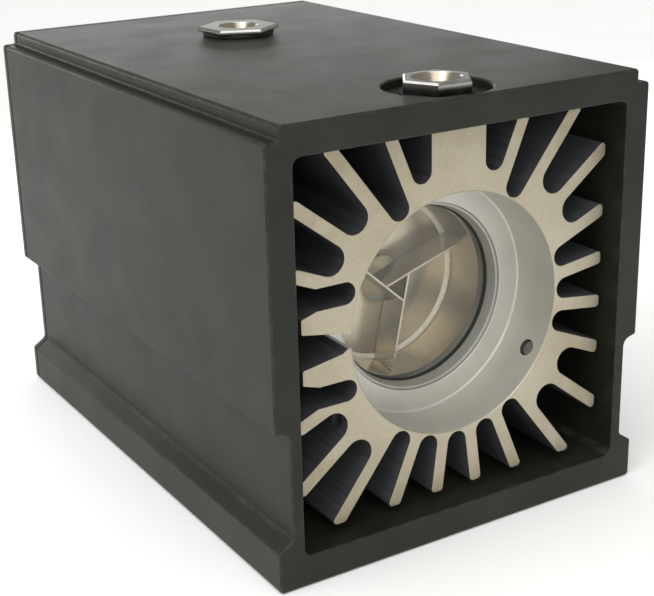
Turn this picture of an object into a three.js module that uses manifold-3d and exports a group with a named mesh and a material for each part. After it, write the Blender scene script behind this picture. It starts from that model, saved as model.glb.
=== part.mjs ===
// Grow lamp: a black extruded housing around a radial-fin heat sink. The sink carries one LED at the
// bottom of a polished cup behind a cover glass, and a small axial fan in the rear cover cools it.
// Millimetres, +Z up. The light leaves through the front, which faces -Y.
// The origin is the centre of the housing's underside.

import * as THREE from 'three';
import { mergeVertices } from 'three/addons/utils/BufferGeometryUtils.js';
import Module from 'manifold-3d';

const wasm = await Module();
wasm.setup();

// ---------------------------------------------------------------- driving dimensions

const FIT = 0.15; // gap between two pieces that touch
const LOOSE_FIT = 0.3; // gap around a piece that sits in a bore

// Housing extrusion
const WIDTH = 100;
const HEIGHT = 102;
const LENGTH = 146; // with the rear cover
const FRONT = -LENGTH / 2;
const REAR = LENGTH / 2;
const COVER_THICKNESS = 2;
const COVER_FRONT = REAR - COVER_THICKNESS;
const CAVITY_HALF_WIDTH = 43.6;
const CAVITY_BOTTOM = 7.2;
const CAVITY_TOP = 95.1;
const CAVITY_RADIUS = 2;
const REBATE_WIDTH = 3.3; // steps along both top edges
const REBATE_HEIGHT = 3.2;
const GROOVE_DEPTH = 3.6; // mounting grooves along both sides
const GROOVE_BOTTOM = 9.6;
const GROOVE_TOP = 37.6;

// Heat sink, measured from the axis of its bore
const AXIS_Z = 52;
const SINK_FRONT = FRONT + 4.5;
const SINK_REAR = 40;
const FIN_THICKNESS = 3.1;
const FIN_PITCH = 15; // degrees
const FIN_TIP_X = 41.7;
const FIN_TIP_BOTTOM = -42.4;
const FIN_TIP_TOP = 42.7;
const NARROW_ROOT = 2.5; // radius at the bottom of a slot
const WIDE_ROOT = 3.4;
const TIP_RADIUS = 0.9;
const LEG_WIDTH = 14.4; // the thick leg that bears on the housing's top wall
const LEG_TOP = CAVITY_TOP - FIT - AXIS_Z;
const RIB_TIP = -40.3; // the two stout ribs beside the wire channel
const FIRST_FIN = 202.5; // below the wire channel, on the left
const LAST_FIN = 157.5 + 360; // above it, after a turn round the bottom, the right and the top
const BORE_RADIUS = 28;
const BORE_DEPTH = 13.6;
const LAMP_BORE_RADIUS = 22.5;
const LAMP_BORE_DEPTH = 36.2;
const WIRE_HOLE_RADIUS = 2.4;
const WIRE_HOLE_DEPTH = 33.5;
const BEYOND = 2; // how far a cutting tool runs past the face it cuts

// Optics, as depths behind the heat sink's front face
const RING_DEPTH = [14.2, 17];
const SEAL_DEPTH = 17.65;
const SEAL_RADIUS = 21.4;
const SEAL_SECTION = 0.5;
const GLASS_DEPTH = [18.3, 19.9];
const CUP_DEPTH = [20.05, 31.5];
const CUP_MOUTH_RADIUS = 20.9;
const CUP_INNER_RADIUS = 20.2; // at its floor
const CUP_WALL = 0.8;
const DIVIDER_DEPTH = [22.6, 30.55];
const DIVIDER_ANGLES = [18, 138, 258];
const DIVIDER_OFFSET = 2; // each vane passes the axis at this distance
const DIVIDER_THICKNESS = 0.6;
const BOARD_SIDE = 19;
const BOARD_DEPTH = [34.6, 36.05];
const HOLDER_DEPTH = [32.1, 34.45];
const HOLDER_SCREW_OFFSET = 12;
const HOLDER_HOLE_RADIUS = 1.5;
const EMITTER_RADIUS = 5.5;
const EMITTER_DEPTH = [33.8, 34.45];

// Hanging sockets in the top, each screwed through the housing into the leg
const SOCKETS = [
  { end: 'front', y: -60.2, acrossFlats: 14.6, turn: 26.5, mouth: 5.6, seat: 100, top: 104, washer: 8.2 },
  { end: 'rear', y: 29.2, acrossFlats: 18.6, turn: 66, mouth: 5.3, seat: HEIGHT, top: 104.3, washer: 9.4 },
];
const POCKET_RADIUS = 12.1; // the round recess the front socket sits in
const STEM_RADIUS = 5;
const STEM_BOTTOM = 85;
const STEM_BORE = 3.4;
const WASHER_THICKNESS = 0.9;

// Fan, 60 mm across, held on the rear cover
const FAN_SIZE = 60;
const FAN_DEPTH = 20;
const FAN_CORNER_RADIUS = 4;
const FAN_BORE = 28.3;
const FAN_FLANGE = 4;
const FAN_HOLE_OFFSET = 25;
const FAN_MIDDLE = COVER_FRONT - FIT - FAN_DEPTH / 2;
const ROTOR_HUB_RADIUS = 15.5;
const ROTOR_TIP_RADIUS = 27.4;
const BLADE_COUNT = 7;
const SHAFT_RADIUS = 1.5;

// Power socket in the rear cover
const POWER_X = -35;
const POWER_Z = 16;
const PINS = [
  { x: -1.8, z: 1 },
  { x: 1.8, z: 1 },
  { x: 0, z: -2 },
];
const POWER_BARREL_RADIUS = 5.9;
const PIN_FRONT = 62;
const PIN_REAR = 73.6;
const PIN_RADIUS = 0.6;

// ---------------------------------------------------------------- shape helpers

const radians = THREE.MathUtils.degToRad;
const point = (x, y) => new THREE.Vector2(x, y);

// The points of a closed outline whose corners, each [x, y, radius], are rounded by arcs.
function rounded(corners, degreesPerStep = 15) {
  const points = [];
  corners.forEach(([x, y, radius], index) => {
    const corner = point(x, y);
    const previous = point(...corners.at(index - 1)).sub(corner).normalize();
    const next = point(...corners[(index + 1) % corners.length]).sub(corner).normalize();
    const halfAngle = Math.acos(previous.dot(next)) / 2;
    const centre = previous.clone().add(next).setLength(radius / Math.sin(halfAngle)).add(corner);
    const tangent = radius / Math.tan(halfAngle);
    const start = previous.multiplyScalar(tangent).add(corner).sub(centre);
    const end = next.multiplyScalar(tangent).add(corner).sub(centre);
    const sweep = Math.atan2(start.cross(end), start.dot(end));
    const steps = Math.ceil(Math.abs(sweep) / radians(degreesPerStep));
    for (let step = 0; step <= steps; step++) {
      const spoke = start.clone().rotateAround(point(0, 0), (sweep * step) / steps);
      points.push(spoke.add(centre));
    }
  });
  return points;
}

function circle(radius, sides = 48, x = 0, y = 0) {
  return Array.from({ length: sides }, (_, side) => {
    const angle = (side * 2 * Math.PI) / sides;
    return point(x + radius * Math.cos(angle), y + radius * Math.sin(angle));
  });
}

// An outline in X and Z, extruded along Y from one end to the other.
function extrudeY(outline, yFront, yRear, holes = []) {
  const shape = new THREE.Shape(outline);
  shape.holes = holes.map((hole) => new THREE.Path(hole));
  return new THREE.ExtrudeGeometry(shape, { depth: yRear - yFront, bevelEnabled: false })
    .rotateX(Math.PI / 2)
    .translate(0, yRear, 0);
}

// A profile of [radius, y] points, turned about the Y axis.
function turned(profile, sides = 48) {
  return new THREE.LatheGeometry(profile.map(([radius, y]) => point(radius, y)), sides);
}

function rodY(radius, yFront, yRear, x = 0, z = 0, sides = 12) {
  return new THREE.CylinderGeometry(radius, radius, yRear - yFront, sides)
    .translate(x, (yFront + yRear) / 2, z);
}

function rodZ(radius, bottom, top, x = 0, y = 0, sides = 24) {
  return new THREE.CylinderGeometry(radius, radius, top - bottom, sides)
    .rotateX(Math.PI / 2)
    .translate(x, y, (bottom + top) / 2);
}

// A rod across the bore axis, at an angle from +X towards +Z.
function rodAcross(radius, inner, outer, degrees, y, sides = 14) {
  return new THREE.CylinderGeometry(radius, radius, outer - inner, sides)
    .rotateZ(-Math.PI / 2)
    .translate((inner + outer) / 2, 0, 0)
    .rotateY(-radians(degrees))
    .translate(0, y, 0);
}

// Shared vertices merged, and the empty triangles at a turned piece's poles dropped.
function welded(geometry) {
  const bare = geometry.clone();
  bare.deleteAttribute('normal');
  bare.deleteAttribute('uv');
  const merged = mergeVertices(bare, 1e-4);
  const corners = Array.from(merged.index.array);
  const kept = [];
  for (let i = 0; i < corners.length; i += 3) {
    const [a, b, c] = corners.slice(i, i + 3);
    if (a !== b && b !== c && c !== a) kept.push(a, b, c);
  }
  merged.setIndex(kept);
  merged.computeVertexNormals();
  return merged;
}

function toSolid(geometry) {
  const { attributes, index } = welded(geometry);
  return new wasm.Manifold(new wasm.Mesh({
    numProp: 3,
    vertProperties: new Float32Array(attributes.position.array),
    triVerts: new Uint32Array(index.array),
  }));
}

function toGeometry(solid) {
  const { vertProperties, triVerts } = solid.getMesh();
  const geometry = new THREE.BufferGeometry();
  geometry.setAttribute('position', new THREE.BufferAttribute(vertProperties, 3));
  geometry.setIndex(Array.from(triVerts));
  geometry.computeVertexNormals();
  return geometry;
}

function cut(body, tools) {
  return toGeometry(tools.reduce((solid, tool) => solid.subtract(toSolid(tool)), toSolid(body)));
}

function join(pieces) {
  const [first, ...others] = pieces;
  return toGeometry(others.reduce((solid, piece) => solid.add(toSolid(piece)), toSolid(first)));
}

// ---------------------------------------------------------------- materials

function finish(color, roughness, metalness) {
  return new THREE.MeshStandardMaterial({ color, roughness, metalness });
}

const BLACK_ANODISED = finish(0x23241f, 0.5, 0.6);
const BARE_ALUMINIUM = finish(0xb5ab97, 0.45, 0.8);
const GREY_ALUMINIUM = finish(0x77776f, 0.4, 0.8);
const NICKEL = finish(0xc8c6c0, 0.2, 1);
const STEEL = finish(0x8f8f8c, 0.35, 0.9);
const BRASS = finish(0xb08d4a, 0.3, 0.9);
const BRONZE_MIRROR = finish(0x8f7f66, 0.1, 1);
const RUBBER = finish(0x111111, 0.8, 0);
const BLACK_PLASTIC = finish(0x191919, 0.5, 0);
const WHITE_PLASTIC = finish(0xe8e6df, 0.5, 0);
const CERAMIC = finish(0xf2efe6, 0.4, 0);
const PHOSPHOR = finish(0xe6c33c, 0.5, 0);
const RED_INSULATION = finish(0xa32620, 0.5, 0);
const DARK_INSULATION = finish(0x1c1c1e, 0.5, 0);
const COPPER = finish(0xa8622f, 0.4, 0.8);
const GLASS = finish(0xeef0ec, 0.02, 0);

const lamp = new THREE.Group();

function place(name, geometry, material, parent = lamp, position = [0, 0, 0]) {
  const mesh = new THREE.Mesh(geometry, material);
  mesh.name = name;
  mesh.position.set(...position);
  parent.add(mesh);
  return mesh;
}

// ---------------------------------------------------------------- housing

// One side of the profile from the bottom up, mirrored for the other side.
function housingOutline() {
  const half = WIDTH / 2;
  const grooveFloor = half - GROOVE_DEPTH;
  const side = [
    [half, 0, 0.9],
    [half, GROOVE_BOTTOM, 0.5],
    [grooveFloor, GROOVE_BOTTOM + 2.4, 1.6],
    [grooveFloor, GROOVE_TOP - 0.9, 2],
    [half, GROOVE_TOP, 0.4],
    [half, HEIGHT - REBATE_HEIGHT, 0.7],
    [half - REBATE_WIDTH, HEIGHT - REBATE_HEIGHT, 0.6],
    [half - REBATE_WIDTH, HEIGHT, 0.4],
  ];
  const otherSide = side.map(([x, z, radius]) => [-x, z, radius]).reverse();
  return rounded([...side, ...otherSide], 45);
}

function cavityOutline() {
  return rounded([
    [-CAVITY_HALF_WIDTH, CAVITY_BOTTOM, CAVITY_RADIUS],
    [CAVITY_HALF_WIDTH, CAVITY_BOTTOM, CAVITY_RADIUS],
    [CAVITY_HALF_WIDTH, CAVITY_TOP, CAVITY_RADIUS],
    [-CAVITY_HALF_WIDTH, CAVITY_TOP, CAVITY_RADIUS],
  ], 30);
}

const COVER_SCREWS = [
  { x: -43.4, z: 98 },
  { x: 43.4, z: 98 },
  { x: -46.2, z: 3.7 },
  { x: 46.2, z: 3.7 },
];
const COVER_SCREW_RADIUS = 1.4;
const COVER_SCREW_LENGTH = 12;

function housing() {
  const body = extrudeY(housingOutline(), FRONT, COVER_FRONT - FIT, [cavityOutline()]);
  const pocket = rodZ(POCKET_RADIUS, SOCKETS[0].seat, HEIGHT + BEYOND, 0, SOCKETS[0].y, 40);
  const stemHoles = SOCKETS.map(({ y }) => (
    rodZ(STEM_RADIUS + LOOSE_FIT, CAVITY_TOP - BEYOND, HEIGHT + BEYOND, 0, y)
  ));
  const screwHoles = COVER_SCREWS.map(({ x, z }) => (
    rodY(COVER_SCREW_RADIUS + LOOSE_FIT, COVER_FRONT - COVER_SCREW_LENGTH, REAR, x, z)
  ));
  return cut(body, [pocket, ...stemHoles, ...screwHoles]);
}

// ---------------------------------------------------------------- heat sink

// Where two lines meet, each given by its unit normal and its distance from the axis.
function meeting(normalA, distanceA, normalB, distanceB) {
  const determinant = normalA.cross(normalB);
  return [
    (distanceA * normalB.y - distanceB * normalA.y) / determinant,
    (distanceB * normalA.x - distanceA * normalB.x) / determinant,
  ];
}

function fin(degrees, thickness = FIN_THICKNESS) {
  const angle = radians(degrees);
  return { normal: point(-Math.sin(angle), Math.cos(angle)), half: thickness / 2, degrees };
}

// The flat that a fin's tip ends on: the side walls, the floor or the roof of the housing.
function tipFlat({ degrees }) {
  const across = Math.cos(radians(degrees));
  const up = Math.sin(radians(degrees));
  if (Math.abs(across) > Math.abs(up)) return [point(Math.sign(across), 0), FIN_TIP_X];
  if (up < 0) return [point(0, -1), -FIN_TIP_BOTTOM];
  return [point(0, 1), degrees === 90 ? LEG_TOP : FIN_TIP_TOP];
}

function tipCorners(blade) {
  const flat = tipFlat(blade);
  return [-blade.half, blade.half].map((offset) => (
    [...meeting(blade.normal, offset, ...flat), TIP_RADIUS]
  ));
}

// The sharp corner that two neighbouring fins' faces run to, rounded by the slot's root radius.
function slotRoot(blade, next, radius) {
  return [...meeting(blade.normal, blade.half, next.normal, -next.half), radius];
}

// The fins from the wire channel's lower side round to its upper side, and the slots between them.
function finnedCorners() {
  const fins = [];
  for (let degrees = FIRST_FIN; degrees <= LAST_FIN; degrees += FIN_PITCH) {
    const turn = degrees % 360;
    const fromLeg = Math.abs(turn - 90);
    if (fromLeg > FIN_PITCH) fins.push(fin(turn));
    if (turn === 82.5) fins.push(fin(90, LEG_WIDTH));
  }
  return fins.flatMap((blade, index) => {
    const next = fins[index + 1];
    if (!next) return tipCorners(blade);
    const middle = (blade.degrees + next.degrees) / 2;
    const fromHorizontal = Math.abs(((middle + 90) % 180) - 90);
    const wide = fromHorizontal === 30 || fromHorizontal === 45;
    return [...tipCorners(blade), slotRoot(blade, next, wide ? WIDE_ROOT : NARROW_ROOT)];
  });
}

// The two stout ribs at nine o'clock, the parallel slots beside them and the wire channel between.
function upperRibCorners() {
  const slotTop = 13.5;
  const ribTop = 8.6;
  const slotEnd = -26.9;
  const root = (slotTop - ribTop) / 2;
  const lastFin = fin(157.5);
  return [
    [...meeting(lastFin.normal, lastFin.half, point(0, 1), slotTop), 0.8],
    [slotEnd, slotTop, root - 0.05],
    [slotEnd, ribTop, root - 0.05],
    [-36.3, ribTop, 1],
    [RIB_TIP, 7.4, 0.5],
    [RIB_TIP, 4, 0.5],
    [-30.2, 2.3, 1],
    [-29, 1.45, 0.4],
    [-25.5, 1.45, 1.4],
  ];
}

function sinkOutline() {
  const upper = upperRibCorners();
  const lower = upper.map(([x, z, radius]) => [x, -z, radius]).reverse();
  return rounded([...finnedCorners(), ...upper, ...lower], 30);
}

const GRUB_ANGLES = { right: -32, left: -148 };
const GRUB_RADIUS = 1.8;
const GRUB_LENGTH = 5.5;
const GRUB_MIDDLE = BORE_RADIUS + 3.3; // from the axis
const GRUB_HOLE_END = 38;
const GRUB_DEPTH = 4.6;

function heatSink() {
  const body = extrudeY(sinkOutline(), SINK_FRONT, SINK_REAR);
  const boreFloor = SINK_FRONT + BORE_DEPTH;
  const lampFloor = SINK_FRONT + LAMP_BORE_DEPTH;
  const bore = rodY(BORE_RADIUS, SINK_FRONT - BEYOND, boreFloor, 0, 0, 72);
  const lampBore = rodY(LAMP_BORE_RADIUS, boreFloor - BEYOND, lampFloor, 0, 0, 56);
  const channelEnd = 32;
  const wireHole = rodAcross(
    WIRE_HOLE_RADIUS, LAMP_BORE_RADIUS - BEYOND, channelEnd, 180, SINK_FRONT + WIRE_HOLE_DEPTH,
  );
  const grubHoles = Object.values(GRUB_ANGLES).map((degrees) => (
    rodAcross(GRUB_RADIUS + 0.2, BORE_RADIUS - BEYOND, GRUB_HOLE_END, degrees, SINK_FRONT + GRUB_DEPTH)
  ));
  const stemHoles = SOCKETS.map(({ y }) => (
    rodZ(STEM_RADIUS + LOOSE_FIT, STEM_BOTTOM - 0.5 - AXIS_Z, LEG_TOP + BEYOND, 0, y)
  ));
  const holderHoles = [-HOLDER_SCREW_OFFSET, HOLDER_SCREW_OFFSET].map((z) => (
    rodY(HOLDER_HOLE_RADIUS, lampFloor - BEYOND, lampFloor + 6, 0, z)
  ));
  return cut(body, [bore, lampBore, wireHole, ...grubHoles, ...stemHoles, ...holderHoles]);
}

// A headless screw along Y with a hexagon key socket in its -Y end.
function grubScrew() {
  const front = -GRUB_LENGTH / 2;
  const keySocket = rodY(1, front - BEYOND, -0.5, 0, 0, 6);
  return cut(rodY(GRUB_RADIUS, front, -front), [keySocket]);
}

// ---------------------------------------------------------------- optics

// Its inner face is a cone that opens towards the front.
function retainingRing() {
  const [front, rear] = RING_DEPTH;
  const outer = LAMP_BORE_RADIUS - LOOSE_FIT;
  const [innerFront, innerRear] = [21.8, 21.2];
  return turned([
    [innerRear, rear],
    [innerFront, front],
    [outer, front],
    [outer, rear],
    [innerRear, rear],
  ], 56);
}

function ringOfRoundSection(radius, section, sides = 48, sectionSides = 8) {
  return new THREE.TorusGeometry(radius, section, sectionSides, sides).rotateX(Math.PI / 2);
}

function disc(radius, depths, sides = 48) {
  return turned([[0, depths[0]], [radius, depths[0]], [radius, depths[1]], [0, depths[1]]], sides);
}

function reflectorCup() {
  const [rim, base] = CUP_DEPTH;
  const outer = CUP_INNER_RADIUS + CUP_WALL;
  const flange = LAMP_BORE_RADIUS - LOOSE_FIT;
  const lightHole = EMITTER_RADIUS + 0.1;
  return turned([
    [lightHole, base],
    [lightHole, base - CUP_WALL],
    [CUP_INNER_RADIUS, base - CUP_WALL],
    [CUP_MOUTH_RADIUS, rim],
    [flange, rim],
    [flange, rim + CUP_WALL],
    [CUP_MOUTH_RADIUS + CUP_WALL, rim + CUP_WALL],
    [outer, base],
    [lightHole, base],
  ], 56);
}

// Three thin vanes standing on the cup's floor like a pinwheel: each starts at its neighbour's side, so
// that they leave a small triangle open around the axis, and ends at the cup's wall.
function lightDivider() {
  const [front, rear] = DIVIDER_DEPTH;
  const reach = CUP_INNER_RADIUS - 0.35;
  const start = -DIVIDER_OFFSET * Math.sqrt(3);
  const end = Math.sqrt(reach ** 2 - DIVIDER_OFFSET ** 2);
  const vane = new THREE.BoxGeometry(end - start, rear - front, DIVIDER_THICKNESS)
    .translate((start + end) / 2, (front + rear) / 2, DIVIDER_OFFSET);
  return join(DIVIDER_ANGLES.map((degrees) => vane.clone().rotateY(-radians(degrees))));
}

function ledHolder() {
  const [front, rear] = HOLDER_DEPTH;
  const outer = 15;
  const [windowFront, windowRear] = [7.4, 6.2];
  const body = turned([
    [windowRear, rear],
    [windowFront, front],
    [outer, front],
    [outer, rear],
    [windowRear, rear],
  ], 36);
  const wireChannel = new THREE.BoxGeometry(12, 8, 5).translate(-12, (front + rear) / 2, 0);
  const screwHoles = [-HOLDER_SCREW_OFFSET, HOLDER_SCREW_OFFSET].map((z) => (
    rodY(HOLDER_HOLE_RADIUS, front - BEYOND, rear + BEYOND, 0, z)
  ));
  return cut(body, [wireChannel, ...screwHoles]);
}

function ledBoard() {
  const thickness = BOARD_DEPTH[1] - BOARD_DEPTH[0];
  return new THREE.BoxGeometry(BOARD_SIDE, thickness, BOARD_SIDE);
}

// A screw along Y whose head points to -Y and rests on y = 0.
function screw({ headRadius, headHeight, radius, length, key }) {
  const body = turned([
    [0, -headHeight],
    [headRadius * 0.8, -headHeight],
    [headRadius, -headHeight * 0.6],
    [headRadius, 0],
    [radius, 0],
    [radius, length],
    [0, length],
  ], 12);
  return cut(body, [rodY(key, -headHeight - BEYOND, -headHeight * 0.4, 0, 0, 6)]);
}

// ---------------------------------------------------------------- hanging sockets

function hexagon(acrossFlats, bottom, top) {
  return rodZ(acrossFlats / Math.sqrt(3), bottom, top, 0, 0, 6);
}

// A hollow hexagon-headed socket: a cone leads down to the threaded bore in its stem.
function hangingSocket({ acrossFlats, mouth, seat, top }) {
  const headBottom = seat + WASHER_THICKNESS + 2 * FIT;
  const coneDepth = 5;
  const cone = new THREE.CylinderGeometry(mouth, STEM_BORE, coneDepth, 32)
    .rotateX(Math.PI / 2)
    .translate(0, 0, top - coneDepth / 2 + 0.01);
  const bore = rodZ(STEM_BORE, STEM_BOTTOM + 2, top - coneDepth + 0.5);
  const head = hexagon(acrossFlats, headBottom, top);
  const stem = rodZ(STEM_RADIUS, STEM_BOTTOM, headBottom + 1);
  return cut(join([head, stem]), [cone, bore]);
}

function socketWasher({ seat, washer }) {
  return extrudeY(circle(washer, 36), 0, WASHER_THICKNESS, [circle(STEM_RADIUS + LOOSE_FIT, 24)])
    .rotateX(Math.PI / 2)
    .translate(0, 0, seat + FIT);
}

// ---------------------------------------------------------------- rear cover, fan and guard

const FAN_CORNERS = [[-1, -1], [1, -1], [-1, 1], [1, 1]];
const FAN_HOLE_RADIUS = 2.3;

function fanScrewHoles(centreZ) {
  return FAN_CORNERS.map(([x, z]) => (
    circle(FAN_HOLE_RADIUS, 12, x * FAN_HOLE_OFFSET, centreZ + z * FAN_HOLE_OFFSET)
  ));
}

function rearCover() {
  const screwHoles = COVER_SCREWS.map(({ x, z }) => circle(COVER_SCREW_RADIUS + LOOSE_FIT, 12, x, z));
  const airHole = circle(FAN_BORE, 48, 0, AXIS_Z);
  const powerHole = circle(POWER_BARREL_RADIUS + LOOSE_FIT, 24, POWER_X, POWER_Z);
  const holes = [airHole, powerHole, ...fanScrewHoles(AXIS_Z), ...screwHoles];
  return extrudeY(housingOutline(), COVER_FRONT, REAR, holes);
}

const HUB_PLATE = 3;
const BEARING_TUBE_RADIUS = 5;
const BEARING_RADIUS = 3.5;
const BEARING_REACH = 6.5; // rearward from the fan's middle

// Two corner flanges joined by the shroud, with the motor plate on four struts at the front.
function fanFrame() {
  const half = FAN_SIZE / 2;
  const front = -FAN_DEPTH / 2;
  const rear = FAN_DEPTH / 2;
  const square = rounded([[-1, -1], [1, -1], [1, 1], [-1, 1]].map(([x, z]) => (
    [x * half, z * half, FAN_CORNER_RADIUS]
  )), 30);
  const flangeHoles = [circle(FAN_BORE), ...fanScrewHoles(0)];
  const flange = (y) => extrudeY(square, y, y + FAN_FLANGE, flangeHoles);
  const shroud = extrudeY(circle(half - 0.1), front + 1, rear - 1, [circle(FAN_BORE)]);
  const plate = rodY(ROTOR_HUB_RADIUS - 0.5, front, front + HUB_PLATE, 0, 0, 36);
  const strut = new THREE.BoxGeometry(15, HUB_PLATE, 2).translate(21.5, front + HUB_PLATE / 2, 0);
  const struts = [20, 110, 200, 290].map((degrees) => strut.clone().rotateY(-radians(degrees)));
  const tube = rodY(BEARING_TUBE_RADIUS, front + 1, BEARING_REACH, 0, 0, 24);
  const body = join([flange(front), flange(rear - FAN_FLANGE), shroud, plate, tube, ...struts]);
  return cut(body, [rodY(BEARING_RADIUS + FIT, front + HUB_PLATE - 1.5, rear, 0, 0, 24)]);
}

function fanBearing() {
  const front = -FAN_DEPTH / 2 + HUB_PLATE;
  const bore = SHAFT_RADIUS + 0.08;
  return turned([
    [bore, front],
    [BEARING_RADIUS, front],
    [BEARING_RADIUS, BEARING_REACH],
    [bore, BEARING_REACH],
    [bore, front],
  ], 36);
}

function fanStator() {
  const inner = BEARING_TUBE_RADIUS + LOOSE_FIT;
  const front = -FAN_DEPTH / 2 + HUB_PLATE + FIT;
  const rear = 5;
  return turned([[inner, front], [12.4, front], [12.4, rear], [inner, rear], [inner, front]], 24);
}

function fanShaft() {
  return turned([
    [0, -FAN_DEPTH / 2 + HUB_PLATE - 0.5],
    [SHAFT_RADIUS, -FAN_DEPTH / 2 + HUB_PLATE - 0.5],
    [SHAFT_RADIUS, 8.4],
    [0, 8.4],
  ], 36);
}

// A closed twisted blade: its chord turns flatter from the hub out to the tip.
function fanBlade() {
  const spans = 4;
  const chordSteps = 4;
  const halfThickness = 0.55;
  const chord = 15;
  const positions = [];
  for (let span = 0; span <= spans; span++) {
    const radius = THREE.MathUtils.lerp(ROTOR_HUB_RADIUS - 0.8, ROTOR_TIP_RADIUS, span / spans);
    const pitch = radians(THREE.MathUtils.lerp(48, 30, span / spans));
    for (const side of [-1, 1]) {
      for (let step = 0; step <= chordSteps; step++) {
        const along = step / chordSteps - 0.5;
        const camber = 1.4 * (1 - 4 * along * along) + side * halfThickness;
        const around = (chord * along * Math.cos(pitch) - camber * Math.sin(pitch)) / radius;
        const axial = chord * along * Math.sin(pitch) + camber * Math.cos(pitch);
        positions.push(radius * Math.cos(around), axial, radius * Math.sin(around));
      }
    }
  }
  const row = chordSteps + 1;
  const at = (span, side, step) => (span * 2 + side) * row + step;
  const triangles = [];
  const quad = (a, b, c, d) => triangles.push(a, b, c, a, c, d);
  for (let step = 0; step < chordSteps; step++) {
    for (let span = 0; span < spans; span++) {
      quad(at(span, 0, step), at(span + 1, 0, step), at(span + 1, 0, step + 1), at(span, 0, step + 1));
      quad(at(span, 1, step), at(span, 1, step + 1), at(span + 1, 1, step + 1), at(span + 1, 1, step));
    }
    quad(at(0, 0, step), at(0, 0, step + 1), at(0, 1, step + 1), at(0, 1, step));
    quad(at(spans, 0, step), at(spans, 1, step), at(spans, 1, step + 1), at(spans, 0, step + 1));
  }
  for (let span = 0; span < spans; span++) {
    quad(at(span, 0, 0), at(span, 1, 0), at(span + 1, 1, 0), at(span + 1, 0, 0));
    const end = chordSteps;
    quad(at(span, 0, end), at(span + 1, 0, end), at(span + 1, 1, end), at(span, 1, end));
  }
  const geometry = new THREE.BufferGeometry();
  geometry.setAttribute('position', new THREE.Float32BufferAttribute(positions, 3));
  geometry.setIndex(triangles);
  return geometry;
}

// A cup over the motor, closed towards the rear, with the blades around it.
function fanRotor() {
  const front = -6.2;
  const rear = 9;
  const wall = 1.4;
  const boss = 3.2;
  const bore = SHAFT_RADIUS + FIT;
  const hub = turned([
    [0, 8.5],
    [bore, 8.5],
    [bore, BEARING_REACH + 0.3],
    [boss, BEARING_REACH + 0.3],
    [boss, rear - wall],
    [ROTOR_HUB_RADIUS - wall, rear - wall],
    [ROTOR_HUB_RADIUS - wall, front],
    [ROTOR_HUB_RADIUS, front],
    [ROTOR_HUB_RADIUS, rear - 1],
    [ROTOR_HUB_RADIUS - 1, rear],
    [0, rear],
  ], 42);
  const blade = fanBlade().translate(0, 1, 0);
  const blades = Array.from({ length: BLADE_COUNT }, (_, index) => (
    blade.clone().rotateY((index * 2 * Math.PI) / BLADE_COUNT)
  ));
  return join([hub, ...blades]);
}

const GUARD_WIRE = 0.9; // radius
const GUARD_RINGS = [26, 19.5, 13, 6.5];
const GUARD_EYE = 3.3;
const GUARD_Y = REAR + 0.35;

// Concentric wire rings on crossed wires, with an eye at each fan screw.
function fanGuard() {
  const rings = GUARD_RINGS.map((radius) => ringOfRoundSection(radius, GUARD_WIRE, 28, 5));
  const eyeReach = FAN_HOLE_OFFSET * Math.SQRT2;
  const armLength = eyeReach - GUARD_EYE + 0.1;
  const arm = new THREE.CylinderGeometry(GUARD_WIRE, GUARD_WIRE, armLength, 6)
    .rotateZ(Math.PI / 2)
    .translate(armLength / 2, GUARD_WIRE, 0);
  const eye = ringOfRoundSection(GUARD_EYE, GUARD_WIRE, 12, 5).translate(eyeReach, GUARD_WIRE, 0);
  const arms = [45, 135, 225, 315].flatMap((degrees) => (
    [arm, eye].map((piece) => piece.clone().rotateY(radians(degrees)))
  ));
  const button = rodY(1.4, -0.2, 2.6, 0, 0, 12);
  return join([button, ...rings, ...arms]);
}

function hexNut(acrossFlats, bore, thickness) {
  return extrudeY(circle(acrossFlats / Math.sqrt(3), 6), -thickness, 0, [circle(bore, 14)]);
}

// ---------------------------------------------------------------- power socket and wires

function powerShell() {
  const flangeFront = REAR + FIT;
  const flangeRear = flangeFront + 1.6;
  const front = 63;
  const rear = flangeFront + 5;
  const bore = 5.2;
  const flange = 8.2;
  const collar = 6.7;
  return turned([
    [bore, front],
    [POWER_BARREL_RADIUS, front],
    [POWER_BARREL_RADIUS, flangeFront],
    [flange, flangeFront],
    [flange, flangeRear],
    [collar, flangeRear],
    [collar, rear],
    [bore, rear],
    [bore, front],
  ], 28);
}

function powerInsert() {
  const holes = PINS.map(({ x, z }) => circle(PIN_RADIUS + 0.2, 8, x, z));
  return extrudeY(circle(5, 24), 65, 71, holes);
}

function powerPin() {
  const shoulder = PIN_REAR - 0.6;
  return turned([[0, PIN_FRONT], [PIN_RADIUS, PIN_FRONT], [PIN_RADIUS, shoulder], [0, PIN_REAR]], 8);
}

// A wire of round section along a smooth curve through the given points.
function wire(points, radius) {
  const knots = points.map((knot) => new THREE.Vector3(...knot));
  const extrudePath = new THREE.CatmullRomCurve3(knots, false, 'centripetal');
  const steps = Math.round(points.length * 2.5);
  return new THREE.ExtrudeGeometry(new THREE.Shape(circle(radius, 8)), { steps, extrudePath });
}

const LED_WIRE_RADIUS = 0.7;
const FAN_WIRE_RADIUS = 0.6;

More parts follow.
